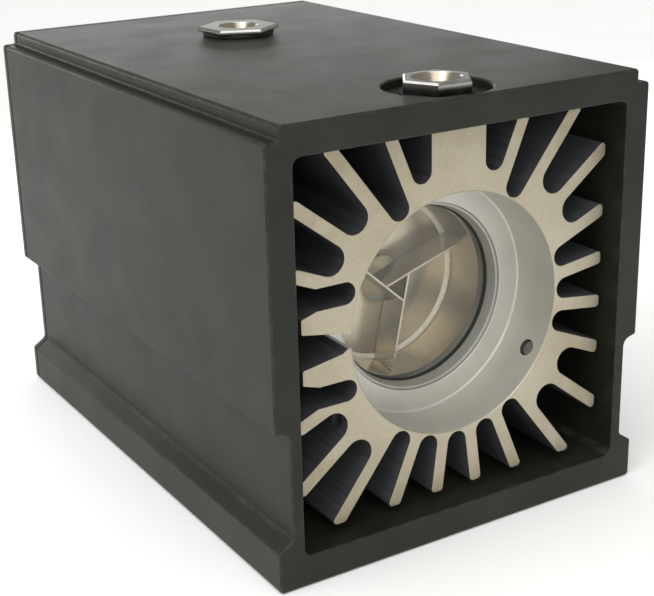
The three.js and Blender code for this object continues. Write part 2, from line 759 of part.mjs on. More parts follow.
// From the board's pad, out through the wire hole, along the channel and down to its pin.
function ledWire(side, pin) {
  const layer = SINK_FRONT + WIRE_HOLE_DEPTH;
  const z = AXIS_Z + side * 1.1;
  const pinX = POWER_X + pin.x;
  const pinZ = POWER_Z + pin.z;
  return wire([
    [-8.2, layer, z],
    [-16, layer, z],
    [-24, layer, z],
    [-30, layer, z],
    [-32.4, layer + 2.5, z],
    [-32.5, layer + 12, z],
    [-32.5, 20, z],
    [-32.8, 38, z],
    [pinX, 45, z - 5],
    [pinX, 46, AXIS_Z - 14],
    [pinX, 46, pinZ + 10],
    [pinX, 48, pinZ + 2.5],
    [pinX, 52, pinZ],
    [pinX, PIN_FRONT - LOOSE_FIT, pinZ],
  ], LED_WIRE_RADIUS);
}

function fanLead(pin) {
  const x = POWER_X + pin.x;
  const z = POWER_Z + pin.z;
  return wire([
    [-FAN_SIZE / 2 - LOOSE_FIT, 55, 44],
    [-32.5, 55, 43.5],
    [-34.7, 55, 40],
    [x, 55, 32],
    [x, 55, z + 7],
    [x, 56, z + 2],
    [x, 58, z],
    [x, PIN_FRONT - LOOSE_FIT, z],
  ], FAN_WIRE_RADIUS);
}

// ---------------------------------------------------------------- assembly

place('housing', housing(), BLACK_ANODISED);

// Everything on the bore axis is built around it and lifted into place together.
const onAxis = new THREE.Group();
onAxis.position.z = AXIS_Z;
lamp.add(onAxis);
place('heat_sink', heatSink(), BARE_ALUMINIUM, onAxis);

const optics = new THREE.Group();
optics.position.y = SINK_FRONT;
onAxis.add(optics);
place('lens_retaining_ring', welded(retainingRing()), GREY_ALUMINIUM, optics);
const seal = ringOfRoundSection(SEAL_RADIUS, SEAL_SECTION);
place('lens_seal', welded(seal), RUBBER, optics, [0, SEAL_DEPTH, 0]);
place('cover_glass', welded(disc(LAMP_BORE_RADIUS - LOOSE_FIT, GLASS_DEPTH)), GLASS, optics);
place('reflector_cup', welded(reflectorCup()), BRONZE_MIRROR, optics);
place('light_divider', lightDivider(), BRONZE_MIRROR, optics);
place('led_holder', ledHolder(), WHITE_PLASTIC, optics);
place('led_board', ledBoard(), CERAMIC, optics, [0, (BOARD_DEPTH[0] + BOARD_DEPTH[1]) / 2, 0]);
place('led_emitter', welded(disc(EMITTER_RADIUS, EMITTER_DEPTH, 48)), PHOSPHOR, optics);

const holderScrew = { headRadius: 2.4, headHeight: 0.45, radius: 1.25, length: 8.5, key: 0.9 };
[['lower', -HOLDER_SCREW_OFFSET], ['upper', HOLDER_SCREW_OFFSET]].forEach(([side, z]) => {
  place(`holder_screw_${side}`, screw(holderScrew), STEEL, optics, [0, HOLDER_DEPTH[0] - 0.05, z]);
});

Object.entries(GRUB_ANGLES).forEach(([side, degrees]) => {
  const turn = new THREE.Group();
  turn.rotation.y = -radians(degrees);
  turn.position.y = GRUB_DEPTH;
  optics.add(turn);
  const grub = place(`bore_grub_screw_${side}`, grubScrew(), STEEL, turn, [GRUB_MIDDLE, 0, 0]);
  grub.rotation.z = -Math.PI / 2;
});

SOCKETS.forEach((socket) => {
  const position = [0, socket.y, 0];
  const body = place(`hanging_socket_${socket.end}`, hangingSocket(socket), NICKEL, lamp, position);
  body.rotation.z = radians(socket.turn);
  place(`socket_washer_${socket.end}`, socketWasher(socket), RUBBER, lamp, position);
});

place('rear_cover', rearCover(), BLACK_ANODISED);
const coverScrew = {
  headRadius: 2.6, headHeight: 1.7, radius: COVER_SCREW_RADIUS, length: COVER_SCREW_LENGTH, key: 1.25,
};
COVER_SCREWS.forEach(({ x, z }, index) => {
  const body = place(`cover_screw_${index + 1}`, screw(coverScrew), STEEL, lamp, [x, REAR + FIT, z]);
  body.rotation.z = Math.PI;
});

const fan = new THREE.Group();
fan.position.y = FAN_MIDDLE;
onAxis.add(fan);
place('fan_frame', fanFrame(), BLACK_PLASTIC, fan);
place('fan_bearing', welded(fanBearing()), BRASS, fan);
place('fan_stator', welded(fanStator()), COPPER, fan);
place('fan_shaft', welded(fanShaft()), STEEL, fan);
place('fan_rotor', fanRotor(), BLACK_PLASTIC, fan);
place('fan_guard', fanGuard(), STEEL, onAxis, [0, GUARD_Y, 0]);

const fanScrew = { headRadius: 4, headHeight: 2.2, radius: 1.9, length: 28, key: 1.5 };
const fanScrewHead = GUARD_Y + 2 * GUARD_WIRE + LOOSE_FIT;
const fanNutRear = COVER_FRONT - FAN_DEPTH - 2 * FIT;
FAN_CORNERS.forEach(([sideX, sideZ], index) => {
  const x = sideX * FAN_HOLE_OFFSET;
  const z = sideZ * FAN_HOLE_OFFSET;
  const body = place(`fan_screw_${index + 1}`, screw(fanScrew), STEEL, onAxis, [x, fanScrewHead, z]);
  body.rotation.z = Math.PI;
  place(`fan_nut_${index + 1}`, hexNut(7, 2.1, 3), STEEL, onAxis, [x, fanNutRear, z]);
});

const power = new THREE.Group();
power.position.set(POWER_X, 0, POWER_Z);
lamp.add(power);
place('power_socket_shell', welded(powerShell()), NICKEL, power);
place('power_socket_insert', powerInsert(), BLACK_PLASTIC, power);
const powerNut = hexNut(14, POWER_BARREL_RADIUS + 0.2, 2.5);
place('power_socket_nut', powerNut, NICKEL, power, [0, COVER_FRONT - FIT, 0]);
PINS.forEach(({ x, z }, index) => {
  place(`power_socket_pin_${index + 1}`, welded(powerPin()), BRASS, power, [x, 0, z]);
});

place('led_wire_positive', welded(ledWire(1, PINS[0])), RED_INSULATION);
place('led_wire_negative', welded(ledWire(-1, PINS[1])), DARK_INSULATION);
place('fan_lead', welded(fanLead(PINS[2])), DARK_INSULATION);

export default lamp;
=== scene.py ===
"""Grow lamp: a black extruded case around a radial-fin heat sink, with a polished cup deep in its bore.

Lengths are in millimetres in the row frame (+Z up, the light's opening faces -Y) and become metres when a
mesh is made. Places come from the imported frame's boxes.
"""

import math

import bmesh
import bpy
from mathutils import Matrix, Vector, noise


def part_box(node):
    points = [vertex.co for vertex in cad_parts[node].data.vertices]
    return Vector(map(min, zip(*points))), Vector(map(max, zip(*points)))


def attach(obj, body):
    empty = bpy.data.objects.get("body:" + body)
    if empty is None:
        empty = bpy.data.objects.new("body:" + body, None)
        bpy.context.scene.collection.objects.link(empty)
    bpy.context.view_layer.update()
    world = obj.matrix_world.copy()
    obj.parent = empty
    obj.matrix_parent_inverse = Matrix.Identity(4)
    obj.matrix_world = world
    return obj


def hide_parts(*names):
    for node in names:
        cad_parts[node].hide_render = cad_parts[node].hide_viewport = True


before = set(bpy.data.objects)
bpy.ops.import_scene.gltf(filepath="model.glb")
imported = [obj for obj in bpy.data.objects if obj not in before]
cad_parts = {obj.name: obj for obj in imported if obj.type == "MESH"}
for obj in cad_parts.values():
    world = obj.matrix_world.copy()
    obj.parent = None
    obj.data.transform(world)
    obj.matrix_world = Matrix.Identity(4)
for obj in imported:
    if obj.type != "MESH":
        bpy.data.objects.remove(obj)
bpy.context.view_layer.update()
MM = 0.001
ON_THE_AXIS = 1e-6  # a smaller radius counts as being on the axis


def box(node):
    low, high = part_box(node)
    return low / MM, high / MM


def middle(node):
    low, high = box(node)
    return (low + high) / 2


# ---- places, from the frame

CASE_LOW, CASE_HIGH = box("housing")
COVER_LOW, COVER_HIGH = box("rear_cover")
SINK_LOW, SINK_HIGH = box("heat_sink")
WIDTH = CASE_HIGH.x - CASE_LOW.x
HEIGHT = CASE_HIGH.z
FRONT = CASE_LOW.y
REAR = COVER_HIGH.y
SINK_FRONT = SINK_LOW.y
AXIS_Z = middle("cover_glass").z
FAN_MIDDLE = middle("fan_frame").y
POWER = middle("power_socket_shell")
PINS = [middle(f"power_socket_pin_{k}") for k in (1, 2, 3)]

# ---- sizes of the profiles

CAVITY_HALF_WIDTH = 43.6
CAVITY_BOTTOM = 7.2
CAVITY_TOP = 95.1
REBATE_WIDTH = 3.3
REBATE_HEIGHT = 3.2
GROOVE_DEPTH = 3.6
GROOVE_BOTTOM = 9.6
GROOVE_TOP = 37.6
POCKET_RADIUS = 12.1
COVER_SCREW_HOLE = 1.7
COVER_SCREW_END = 59
FAN_SCREW_HOLE = 2.3
AIR_HOLE = 28.3

FIN_THICKNESS = 3.1
FIN_PITCH = 15
FIRST_FIN = 202.5
LAST_FIN = 157.5 + 360
LEG_WIDTH = 14.4
BORE_RADIUS = 28
BORE_DEPTH = 13.6
LAMP_BORE_RADIUS = 22.5
LAMP_BORE_DEPTH = 36.2
WIRE_DEPTH = 33.5
WIRE_HOLE = 2.4
STEM_RADIUS = 5
STEM_HOLE = STEM_RADIUS + 0.3
STEM_HOLE_END = 84.5
GRUB_HOLE = 2.0
HOLDER_SCREW_HOLE = 1.5
STEM_BORE = 3.4

CUP_RADIUS = 20.2
DIVIDER_ANGLES = (18, 138, 258)
DIVIDER_OFFSET = 2
DIVIDER_THICKNESS = 0.6
FAN_CORNERS = ((-25, -25), (25, -25), (-25, 25), (25, 25))
BLADE_COUNT = 7


# ---- outlines in X and Z

def rounded(corners, step=9):
    """The points of a closed outline whose corners, each (x, z, radius), are rounded by arcs."""
    points = []
    for index, (x, z, radius) in enumerate(corners):
        corner = Vector((x, z))
        before = (Vector(corners[index - 1][:2]) - corner).normalized()
        after = (Vector(corners[(index + 1) % len(corners)][:2]) - corner).normalized()
        half = math.acos(max(-1, min(1, before.dot(after)))) / 2
        centre = corner + (before + after).normalized() * (radius / math.sin(half))
        start = corner + before * (radius / math.tan(half)) - centre
        end = corner + after * (radius / math.tan(half)) - centre
        sweep = math.atan2(start.cross(end), start.dot(end))
        steps = max(1, math.ceil(abs(math.degrees(sweep)) / step))
        for k in range(steps + 1):
            points.append(centre + Matrix.Rotation(sweep * k / steps, 2) @ start)
    return points


def circle(radius, sides=64, x=0.0, z=0.0):
    angles = [2 * math.pi * k / sides for k in range(sides)]
    return [Vector((x + radius * math.cos(a), z + radius * math.sin(a))) for a in angles]


def moved_in(loop, distance):
    """The loop, which runs anticlockwise, moved towards its inside by a distance."""
    moved = []
    for index, point in enumerate(loop):
        before = (point - loop[index - 1]).normalized()
        after = (loop[(index + 1) % len(loop)] - point).normalized()
        normal_a = Vector((-before.y, before.x))
        normal_b = Vector((-after.y, after.x))
        mean = (normal_a + normal_b).normalized()
        moved.append(point + mean * (distance / max(0.3, mean.dot(normal_a))))
    return moved


def case_outline():
    half = WIDTH / 2
    floor = half - GROOVE_DEPTH
    side = [
        (half, 0, 0.9),
        (half, GROOVE_BOTTOM, 0.7),
        (floor, GROOVE_BOTTOM + 2.4, 1.6),
        (floor, GROOVE_TOP - 0.9, 2),
        (half, GROOVE_TOP, 0.7),
        (half, HEIGHT - REBATE_HEIGHT, 0.9),
        (half - REBATE_WIDTH, HEIGHT - REBATE_HEIGHT, 0.6),
        (half - REBATE_WIDTH, HEIGHT, 0.9),
    ]
    return rounded(side + [(-x, z, radius) for x, z, radius in reversed(side)], 18)


def cavity_outline():
    return rounded([
        (-CAVITY_HALF_WIDTH, CAVITY_BOTTOM, 2),
        (CAVITY_HALF_WIDTH, CAVITY_BOTTOM, 2),
        (CAVITY_HALF_WIDTH, CAVITY_TOP, 2),
        (-CAVITY_HALF_WIDTH, CAVITY_TOP, 2),
    ])


def meeting(normal_a, distance_a, normal_b, distance_b):
    """Where two lines meet, each given by its unit normal and its distance from the axis."""
    determinant = normal_a.cross(normal_b)
    x = (distance_a * normal_b.y - distance_b * normal_a.y) / determinant
    z = (distance_b * normal_a.x - distance_a * normal_b.x) / determinant
    return x, z


def fin(degrees, thickness=FIN_THICKNESS):
    angle = math.radians(degrees)
    normal = Vector((-math.sin(angle), math.cos(angle)))
    return {"normal": normal, "half": thickness / 2, "degrees": degrees}


def tip_corners(blade):
    """The fin's two outer corners, on the flat that runs beside the case's wall."""
    across = math.cos(math.radians(blade["degrees"]))
    up = math.sin(math.radians(blade["degrees"]))
    if abs(across) > abs(up):
        flat = (Vector((math.copysign(1, across), 0)), SINK_HIGH.x)
    elif up < 0:
        flat = (Vector((0, -1)), AXIS_Z - SINK_LOW.z)
    else:
        top = SINK_HIGH.z - AXIS_Z
        flat = (Vector((0, 1)), top if blade["degrees"] == 90 else top - 0.25)
    return [(*meeting(blade["normal"], side, *flat), 0.9) for side in (-blade["half"], blade["half"])]


def rib_corners():
    """The upper of the two stout ribs at nine o'clock, with the slot above it and half the wire channel."""
    slot_top, rib_top, slot_end, rib_tip = 13.5, 8.6, -26.9, -40.3
    root = (slot_top - rib_top) / 2 - 0.05
    last = fin(LAST_FIN)
    return [
        (*meeting(last["normal"], last["half"], Vector((0, 1)), slot_top), 0.8),
        (slot_end, slot_top, root),
        (slot_end, rib_top, root),
        (-36.3, rib_top, 1),
        (rib_tip, 7.4, 0.5),
        (rib_tip, 4, 0.5),
        (-30.2, 2.3, 1),
        (-29, 1.45, 0.4),
        (-25.5, 1.45, 1.4),
    ]


def sink_outline():
    fins = []
    degrees = FIRST_FIN
    while degrees <= LAST_FIN:
        turn = degrees % 360
        if abs(turn - 90) > FIN_PITCH:
            fins.append(fin(turn))
        if turn == 82.5:
            fins.append(fin(90, LEG_WIDTH))
        degrees += FIN_PITCH
    corners = []
    for blade, following in zip(fins, fins[1:]):
        between = (blade["degrees"] + following["degrees"]) / 2
        from_level = abs((between + 90) % 180 - 90)
        root = 3.4 if from_level in (30, 45) else 2.5
        corners += tip_corners(blade)
        meet = meeting(blade["normal"], blade["half"], following["normal"], -following["half"])
        corners.append((*meet, root))
    corners += tip_corners(fins[-1])
    upper = rib_corners()
    corners += upper + [(x, -z, radius) for x, z, radius in reversed(upper)]
    return [point + Vector((0, AXIS_Z)) for point in rounded(corners, 12)]


# ---- mesh helpers

def in_scene(name, data):
    obj = bpy.data.objects.new(name, data)
    bpy.context.scene.collection.objects.link(obj)
    return obj


def new_object(name, bm):
    bmesh.ops.recalc_face_normals(bm, faces=bm.faces[:])
    bmesh.ops.scale(bm, vec=(MM, MM, MM), verts=bm.verts[:])
    mesh = bpy.data.meshes.new(name)
    bm.to_mesh(mesh)
    bm.free()
    return in_scene(name, mesh)


def add_rows(bm, rows, closed=False):
    """Quads between rows of points, each row a closed ring. closed joins the last row to the first."""
    rings = [[bm.verts.new(point) for point in row] for row in rows]
    pairs = list(zip(rings, rings[1:])) + ([(rings[-1], rings[0])] if closed else [])
    for low, high in pairs:
        for k in range(len(low)):
            following = (k + 1) % len(low)
            bm.faces.new((low[k], low[following], high[following], high[k]))
    return rings


def ring_edges(bm, ring):
    return [bm.edges.get((vert, ring[(k + 1) % len(ring)])) for k, vert in enumerate(ring)]


def add_plate(bm, outline, holes, y_front, y_rear, edge, hole_edge):
    """A plate or bar along Y with the given outline and holes, its end edges rounded by small arcs."""
    steps = 3
    ends = {"front": [], "rear": []}
    for loop, size, side in [(outline, edge, 1)] + [(hole, hole_edge, -1) for hole in holes]:
        rows = []
        for k in range(steps + 1):
            angle = math.pi / 2 * k / steps
            inset, depth = size * (1 - math.sin(angle)), size * (1 - math.cos(angle))
            rows.append((moved_in(loop, side * inset), y_front + depth))
        rows += [(row, y_front + y_rear - y) for row, y in reversed(rows)]
        rings = add_rows(bm, [[Vector((p.x, y, p.y)) for p in row] for row, y in rows])
        ends["front"] += ring_edges(bm, rings[0])
        ends["rear"] += ring_edges(bm, rings[-1])
    for edges in ends.values():
        bmesh.ops.triangle_fill(bm, edges=edges, use_beauty=True)


def plate(name, outline, holes, y_front, y_rear, edge=0.3, hole_edge=0.3):
    bm = bmesh.new()
    add_plate(bm, outline, holes, y_front, y_rear, edge, hole_edge)
    return new_object(name, bm)


def softened(profile, size):
    """A profile of (radius, y) points with each corner off the axis rounded by a small arc."""
    steps = 3
    points = []
    for index, (radius, y) in enumerate(profile):
        corner = Vector((radius, y))
        ends = index in (0, len(profile) - 1)
        if ends or radius < ON_THE_AXIS:
            points.append(corner)
            continue
        before = Vector(profile[index - 1]) - corner
        after = Vector(profile[index + 1]) - corner
        reach = min(size, before.length * 0.45, after.length * 0.45)
        start = corner + before.normalized() * reach
        end = corner + after.normalized() * reach
        for k in range(steps + 1):
            t = k / steps
            points.append(start * (1 - t) ** 2 + corner * (2 * t * (1 - t)) + end * t ** 2)
    return points


def add_turned(bm, profile, sides=96, wobble=None):
    """The profile of (radius, y) points turned about the Y axis. Points on the axis become poles."""
    ring_rows, poles = [], {}
    for index, (radius, y) in enumerate(profile):
        if radius < ON_THE_AXIS:
            poles[index] = bm.verts.new((0, y, 0))
            ring_rows.append(None)
            continue
        ring = []
        for k in range(sides):
            angle = 2 * math.pi * k / sides
            reach = radius + (wobble(angle, radius, y) if wobble else 0)
            ring.append(bm.verts.new((reach * math.cos(angle), y, reach * math.sin(angle))))
        ring_rows.append(ring)
    for index in range(len(profile) - 1):
        low, high = ring_rows[index], ring_rows[index + 1]
        for k in range(sides):
            following = (k + 1) % sides
            if low and high:
                bm.faces.new((low[k], low[following], high[following], high[k]))
            elif high:
                bm.faces.new((poles[index], high[following], high[k]))
            elif low:
                bm.faces.new((poles[index + 1], low[k], low[following]))


def turned(name, profile, sides=96, soft=0.2, wobble=None):
    """A turned piece along Y. A profile that doesn't start and end on the axis is closed into a ring."""
    bm = bmesh.new()
    if profile[0][0] < ON_THE_AXIS:
        points = softened(profile, soft)
    else:
        start = (Vector(profile[0]) + Vector(profile[1])) / 2
        points = softened([start, *profile[1:], profile[0], start], soft)
    add_turned(bm, points, sides, wobble)
    bmesh.ops.remove_doubles(bm, verts=bm.verts[:], dist=1e-5)
    return new_object(name, bm)


def tube(bm, points, radius, sides=12, closed=False):
    """A round tube along the points."""
    count = len(points)
    rows = []
    normal = None
    for index, point in enumerate(points):
        ahead = points[(index + 1) % count] if closed or index < count - 1 else point
        behind = points[index - 1] if closed or index else point
        along = (ahead - behind).normalized()
        if normal is None:
            normal = along.orthogonal().normalized()
        normal = (normal - along * normal.dot(along)).normalized()
        sideways = along.cross(normal)
        rows.append([
            point + (normal * math.cos(a) + sideways * math.sin(a)) * radius
            for a in (2 * math.pi * k / sides for k in range(sides))
        ])
    rings = add_rows(bm, rows, closed)
    if not closed:
        bm.faces.new(rings[0])
        bm.faces.new(rings[-1])


def smooth_path(knots):
    """Points on a smooth curve through the knots."""
    per_span = 8
    points = []
    padded = [knots[0] * 2 - knots[1], *knots, knots[-1] * 2 - knots[-2]]
    for a, b, c, d in zip(padded, padded[1:], padded[2:], padded[3:]):
        for k in range(per_span):
            t = k / per_span
            points.append(0.5 * (
                2 * b + (c - a) * t + (2 * a - 5 * b + 4 * c - d) * t * t + (3 * b - a - 3 * c + d) * t ** 3
            ))
    return [*points, knots[-1]]


def applied(obj):
    """Turns the object's modifiers into mesh."""
    depsgraph = bpy.context.evaluated_depsgraph_get()
    mesh = bpy.data.meshes.new_from_object(obj.evaluated_get(depsgraph))
    obj.modifiers.clear()
    obj.data = mesh


def cleaned(obj):
    """The object with its nearly doubled corners merged and its faces without area dissolved."""
    bm = bmesh.new()
    bm.from_mesh(obj.data)
    bmesh.ops.remove_doubles(bm, verts=bm.verts[:], dist=0.002 * MM)
    bmesh.ops.dissolve_degenerate(bm, edges=bm.edges[:], dist=0.002 * MM)
    bm.to_mesh(obj.data)
    bm.free()
    return obj


def cut(obj, cutters):
    for cutter in cutters:
        boolean = obj.modifiers.new("cut", "BOOLEAN")
        boolean.object = cutter
        boolean.solver = "EXACT"
    bpy.context.view_layer.update()
    applied(obj)
    for cutter in cutters:
        bpy.data.objects.remove(cutter)
    return cleaned(obj)


def crisp(obj, degrees):
    """Smooth shading that stays flat on flat faces and sharp at true corners."""
    obj.data.shade_smooth()
    obj.data.set_sharp_from_angle(angle=math.radians(degrees))
    weighted = obj.modifiers.new("face normals", "WEIGHTED_NORMAL")
    weighted.keep_sharp = True


def put(obj, x=0.0, y=0.0, z=0.0, turn=None):
    """The mesh itself turned and moved, so that the object stays at the origin."""
    matrix = Matrix.Translation(Vector((x, y, z)) * MM)
    if turn is not None:
        matrix = matrix @ turn
    obj.data.transform(matrix)
    return obj


UPRIGHT = Matrix.Rotation(math.pi / 2, 4, "X")  # +Y becomes +Z
BACKWARD = Matrix.Rotation(math.pi, 4, "Z")  # +Y becomes -Y


def drill(radius, y_from, y_to, sides=48, flare=0.0, nose=0.0):
    """A cutter along Y. A flare widens its mouth at y_to, and a nose rounds its end at y_from."""
    way = math.copysign(1, y_to - y_from)
    profile = [(0, y_from)]
    for k in range(5 if nose else 1):
        angle = math.pi / 2 * k / 4
        profile.append((radius - nose * (1 - math.sin(angle)), y_from + way * nose * (1 - math.cos(angle))))
    profile.append((radius, y_to - way * flare))
    if flare:
        profile += [(radius + flare, y_to), (radius + flare, y_to + way * 3)]
    profile.append((0, profile[-1][1]))
    bm = bmesh.new()
    add_turned(bm, profile, sides)
    return new_object("cutter", bm)


# ---- materials

class Paint:
    """A material under construction: a Principled shader and the nodes that feed it."""

    def __init__(self, name, color=None, roughness=None, metallic=0.0, ior=1.5):
        self.material = bpy.data.materials.new(name)
        self.material.use_nodes = True
        self.tree = self.material.node_tree
        self.shader = self.tree.nodes["Principled BSDF"]
        self.where = self.tree.nodes.new("ShaderNodeTexCoord").outputs["Object"]
        self.shader.inputs["Metallic"].default_value = metallic
        self.shader.inputs["IOR"].default_value = ior
        if color:
            self.shader.inputs["Base Color"].default_value = (*color, 1)
        if roughness is not None:
            self.shader.inputs["Roughness"].default_value = roughness

    def node(self, kind, **values):
        made = self.tree.nodes.new(kind)
        for name, value in values.items():
            setattr(made, name, value)
        return made

    def link(self, source, target):
        self.tree.links.new(source, target)

    def stretched(self, stretch):
        mapping = self.node("ShaderNodeMapping")
        mapping.inputs["Scale"].default_value = stretch
        self.link(self.where, mapping.inputs["Vector"])
        return mapping.outputs["Vector"]

    def noise(self, size, detail=4, stretch=None):
        """Noise whose features are about size millimetres across."""
        made = self.node("ShaderNodeTexNoise")
        made.inputs["Scale"].default_value = 1 / (size * MM)
        made.inputs["Detail"].default_value = detail
        self.link(self.stretched(stretch) if stretch else self.where, made.inputs["Vector"])
        return made.outputs["Fac"]

    def ramp(self, source, *stops):
        """Colours or greys at places between 0 and 1."""
        made = self.node("ShaderNodeValToRGB")
        elements = made.color_ramp.elements
        for index, (place, value) in enumerate(stops):
            element = elements[index] if index < 2 else elements.new(place)
            element.position = place
            element.color = (*value, 1) if isinstance(value, tuple) else (value, value, value, 1)
        self.link(source, made.inputs["Fac"])
        return made.outputs["Color"]

    def mix(self, factor, first, second, kind="MIX"):
        made = self.node("ShaderNodeMix", data_type="RGBA", blend_type=kind)
        sockets = made.inputs[0], made.inputs[6], made.inputs[7]
        for socket, source in zip(sockets, (factor, first, second)):
            if isinstance(source, (int, float)):
                socket.default_value = source
            elif isinstance(source, tuple):
                socket.default_value = (*source, 1)
            else:
                self.link(source, socket)
        return made.outputs[2]

    def between(self, value, low, high):
        """Grows from 0 to 1 as a length goes from low to high, both in millimetres."""
        scaled = self.node("ShaderNodeMapRange")
        scaled.inputs["From Min"].default_value = low * MM
        scaled.inputs["From Max"].default_value = high * MM
        self.link(value, scaled.inputs["Value"])
        return scaled.outputs["Result"]

    def from_axis(self, near, far):
        """Grows from 0 to 1 between two distances, in millimetres, from the axis of the bore."""
        flat = self.node("ShaderNodeVectorMath", operation="MULTIPLY_ADD")
        flat.inputs[1].default_value = (1, 0, 1)
        flat.inputs[2].default_value = (0, 0, -AXIS_Z * MM)
        self.link(self.where, flat.inputs[0])
        length = self.node("ShaderNodeVectorMath", operation="LENGTH")
        self.link(flat.outputs["Vector"], length.inputs[0])
        return self.between(length.outputs["Value"], near, far)

    def along_x(self, left, right):
        """Grows from 0 to 1 between two places across the lamp, in millimetres."""
        parts = self.node("ShaderNodeSeparateXYZ")
        self.link(self.where, parts.inputs["Vector"])
        return self.between(parts.outputs["X"], left, right)

    def set(self, socket, source):
        self.link(source, self.shader.inputs[socket])

    def vary(self, socket, source, low, high, start=0.3, end=0.7):
        """A socket that goes from low to high as its source goes from start to end."""
        self.set(socket, self.ramp(source, (start, low), (end, high)))

    def bump(self, source, height):
        """Bumps of a height in millimetres."""
        made = self.node("ShaderNodeBump")
        made.inputs["Strength"].default_value = 1
        made.inputs["Distance"].default_value = height * MM
        self.link(source, made.inputs["Height"])
        previous = self.shader.inputs["Normal"].links
        if previous:
            self.link(previous[0].from_socket, made.inputs["Normal"])
        self.link(made.outputs["Normal"], self.shader.inputs["Normal"])
        return self


def anodised_case(name="black_anodised_case", rubbed=0.0):
    """Black anodising gone slightly olive, with a fine grain, faint draw lines and paler rubbed spots."""
    paint = Paint(name, ior=1.32)
    grain = paint.noise(0.3, 3)
    patches = paint.noise(19, 5)
    lines = paint.noise(1.2, 3, stretch=(1, 0.03, 1))
    base = paint.ramp(patches, (0.3, (0.011, 0.012, 0.008)), (0.72, (0.019, 0.020, 0.014)))
    base = paint.mix(paint.ramp(lines, (0.62, 0.0), (0.85, 0.25)), base, (0.05, 0.05, 0.042))
    spots = paint.ramp(paint.noise(0.9, 5), (0.72, 0.0), (0.8, 0.4))
    base = paint.mix(spots, base, (0.10, 0.10, 0.086))
    if rubbed:
        wear = paint.ramp(paint.noise(2.6, 6), (0.42, 0.0), (0.75, rubbed))
        base = paint.mix(wear, base, (0.30, 0.29, 0.26))
    paint.set("Base Color", base)
    paint.vary("Roughness", paint.noise(13, 4), 0.40, 0.46)
    paint.bump(grain, 0.007).bump(lines, 0.004).bump(patches, 0.012)
    return paint.material


def anodised_fins():
    paint = Paint("black_anodised_fins", ior=1.45)
    lines = paint.noise(0.5, 4, stretch=(1, 0.02, 1))
    paint.vary("Base Color", lines, (0.038, 0.040, 0.042), (0.060, 0.062, 0.065), 0.35)
    paint.vary("Roughness", lines, 0.38, 0.5)
    paint.bump(lines, 0.02)
    return paint.material


def milled_face():
    """The sink's cut face: warm grey aluminium, finely frosted, and browner in patches towards the fin
    tips, a painted shade where the case's walls shade the face.
    """
    paint = Paint("milled_aluminium_face", metallic=0.8)
    grain = paint.noise(0.22, 4)
    clouds = paint.noise(30, 3)
    base = paint.ramp(clouds, (0.3, (0.46, 0.41, 0.305)), (0.7, (0.56, 0.52, 0.41)))
    fleck = paint.ramp(grain, (0.35, (0.86, 0.85, 0.83)), (0.6, (1.0, 1.0, 1.0)))
    base = paint.mix(1.0, base, fleck, "MULTIPLY")
    patches = paint.ramp(paint.noise(5, 5), (0.35, 0.2), (0.7, 0.75))
    # painted shade: towards the fin tips the face turns darker brown in patches, standing for the shadow of
    # the case's walls
    painted_tip_shade = paint.mix(1.0, paint.from_axis(30, 46), patches, "MULTIPLY")
    paint.set("Base Color", paint.mix(painted_tip_shade, base, (0.33, 0.28, 0.19)))
    paint.vary("Roughness", grain, 0.56, 0.48)
    paint.bump(grain, 0.004)
    return paint.material


def turned_bore():
    """Satin aluminium with very fine turning lines."""
    paint = Paint("turned_aluminium_bore", metallic=0.6)
    rings = paint.noise(0.25, 3, stretch=(0.04, 1, 0.04))
    clouds = paint.noise(12, 3)
    paint.vary("Base Color", clouds, (0.52, 0.51, 0.46), (0.58, 0.57, 0.52))
    paint.vary("Roughness", rings, 0.40, 0.50)
    paint.bump(rings, 0.003)
    return paint.material


def ring_grey():
    paint = Paint("turned_grey_ring", metallic=0.6)
    rings = paint.noise(0.35, 4, stretch=(0.05, 1, 0.05))
    paint.vary("Base Color", rings, (0.38, 0.38, 0.35), (0.48, 0.48, 0.44))
    paint.vary("Roughness", rings, 0.42, 0.52)
    paint.bump(rings, 0.006)
    return paint.material


def plated(name, low, high, roughness=0.18):
    """Bright plating with faint smears."""
    paint = Paint(name, metallic=1.0)
    smears = paint.noise(3.5, 4)
    fine = paint.noise(0.3, 3)
    paint.vary("Base Color", smears, low, high)
    paint.vary("Roughness", smears, roughness, roughness + 0.08, 0.35, 0.75)
    paint.bump(fine, 0.002)
    return paint.material


def spotted_metal(name, tint):
    """Dull metal of a tint, with small darker and rougher spots."""
    paint = Paint(name, metallic=0.95)
    spots = paint.noise(0.8, 6)
    darker = tuple(0.7 * channel for channel in tint)
    paint.vary("Base Color", spots, darker, tint, 0.35, 0.65)
    paint.vary("Roughness", spots, 0.45, 0.3)
    paint.bump(paint.noise(0.3, 3), 0.008)
    return paint.material


def tinted_mirror(name, low, high, roughness, dents, dulling_and_sheen=0.0):
    """Polished metal with faint ripples. When dulled, its right side is rougher and its left is painted
    paler, a painted reflection.
    """
    paint = Paint(name, metallic=1.0)
    clouds = paint.noise(9, 2)
    ripples = paint.noise(7, 0)
    base = paint.ramp(clouds, (0.3, low), (0.7, high))
    if dulling_and_sheen:
        across = paint.along_x(-4, 10)
        # painted reflection: the left of the cup is painted a pale cream for the bright reflections seen
        # there
        base = paint.mix(across, (0.78, 0.71, 0.56), base)
        paint.vary("Roughness", across, roughness, roughness + dulling_and_sheen, 0, 1)
    else:
        paint.vary("Roughness", clouds, roughness, roughness + 0.04)
    paint.set("Base Color", base)
    paint.bump(ripples, dents)
    return paint.material


def vane_side():
    """The vanes' broad sides: brownish bright sheet, gently rippled."""
    paint = Paint("rippled_vane_side", metallic=0.9)
    marks = paint.noise(2.5, 2)
    paint.vary("Base Color", marks, (0.40, 0.35, 0.26), (0.48, 0.43, 0.33))
    paint.vary("Roughness", marks, 0.15, 0.22)
    paint.bump(paint.noise(6, 0), 0.12)
    return paint.material


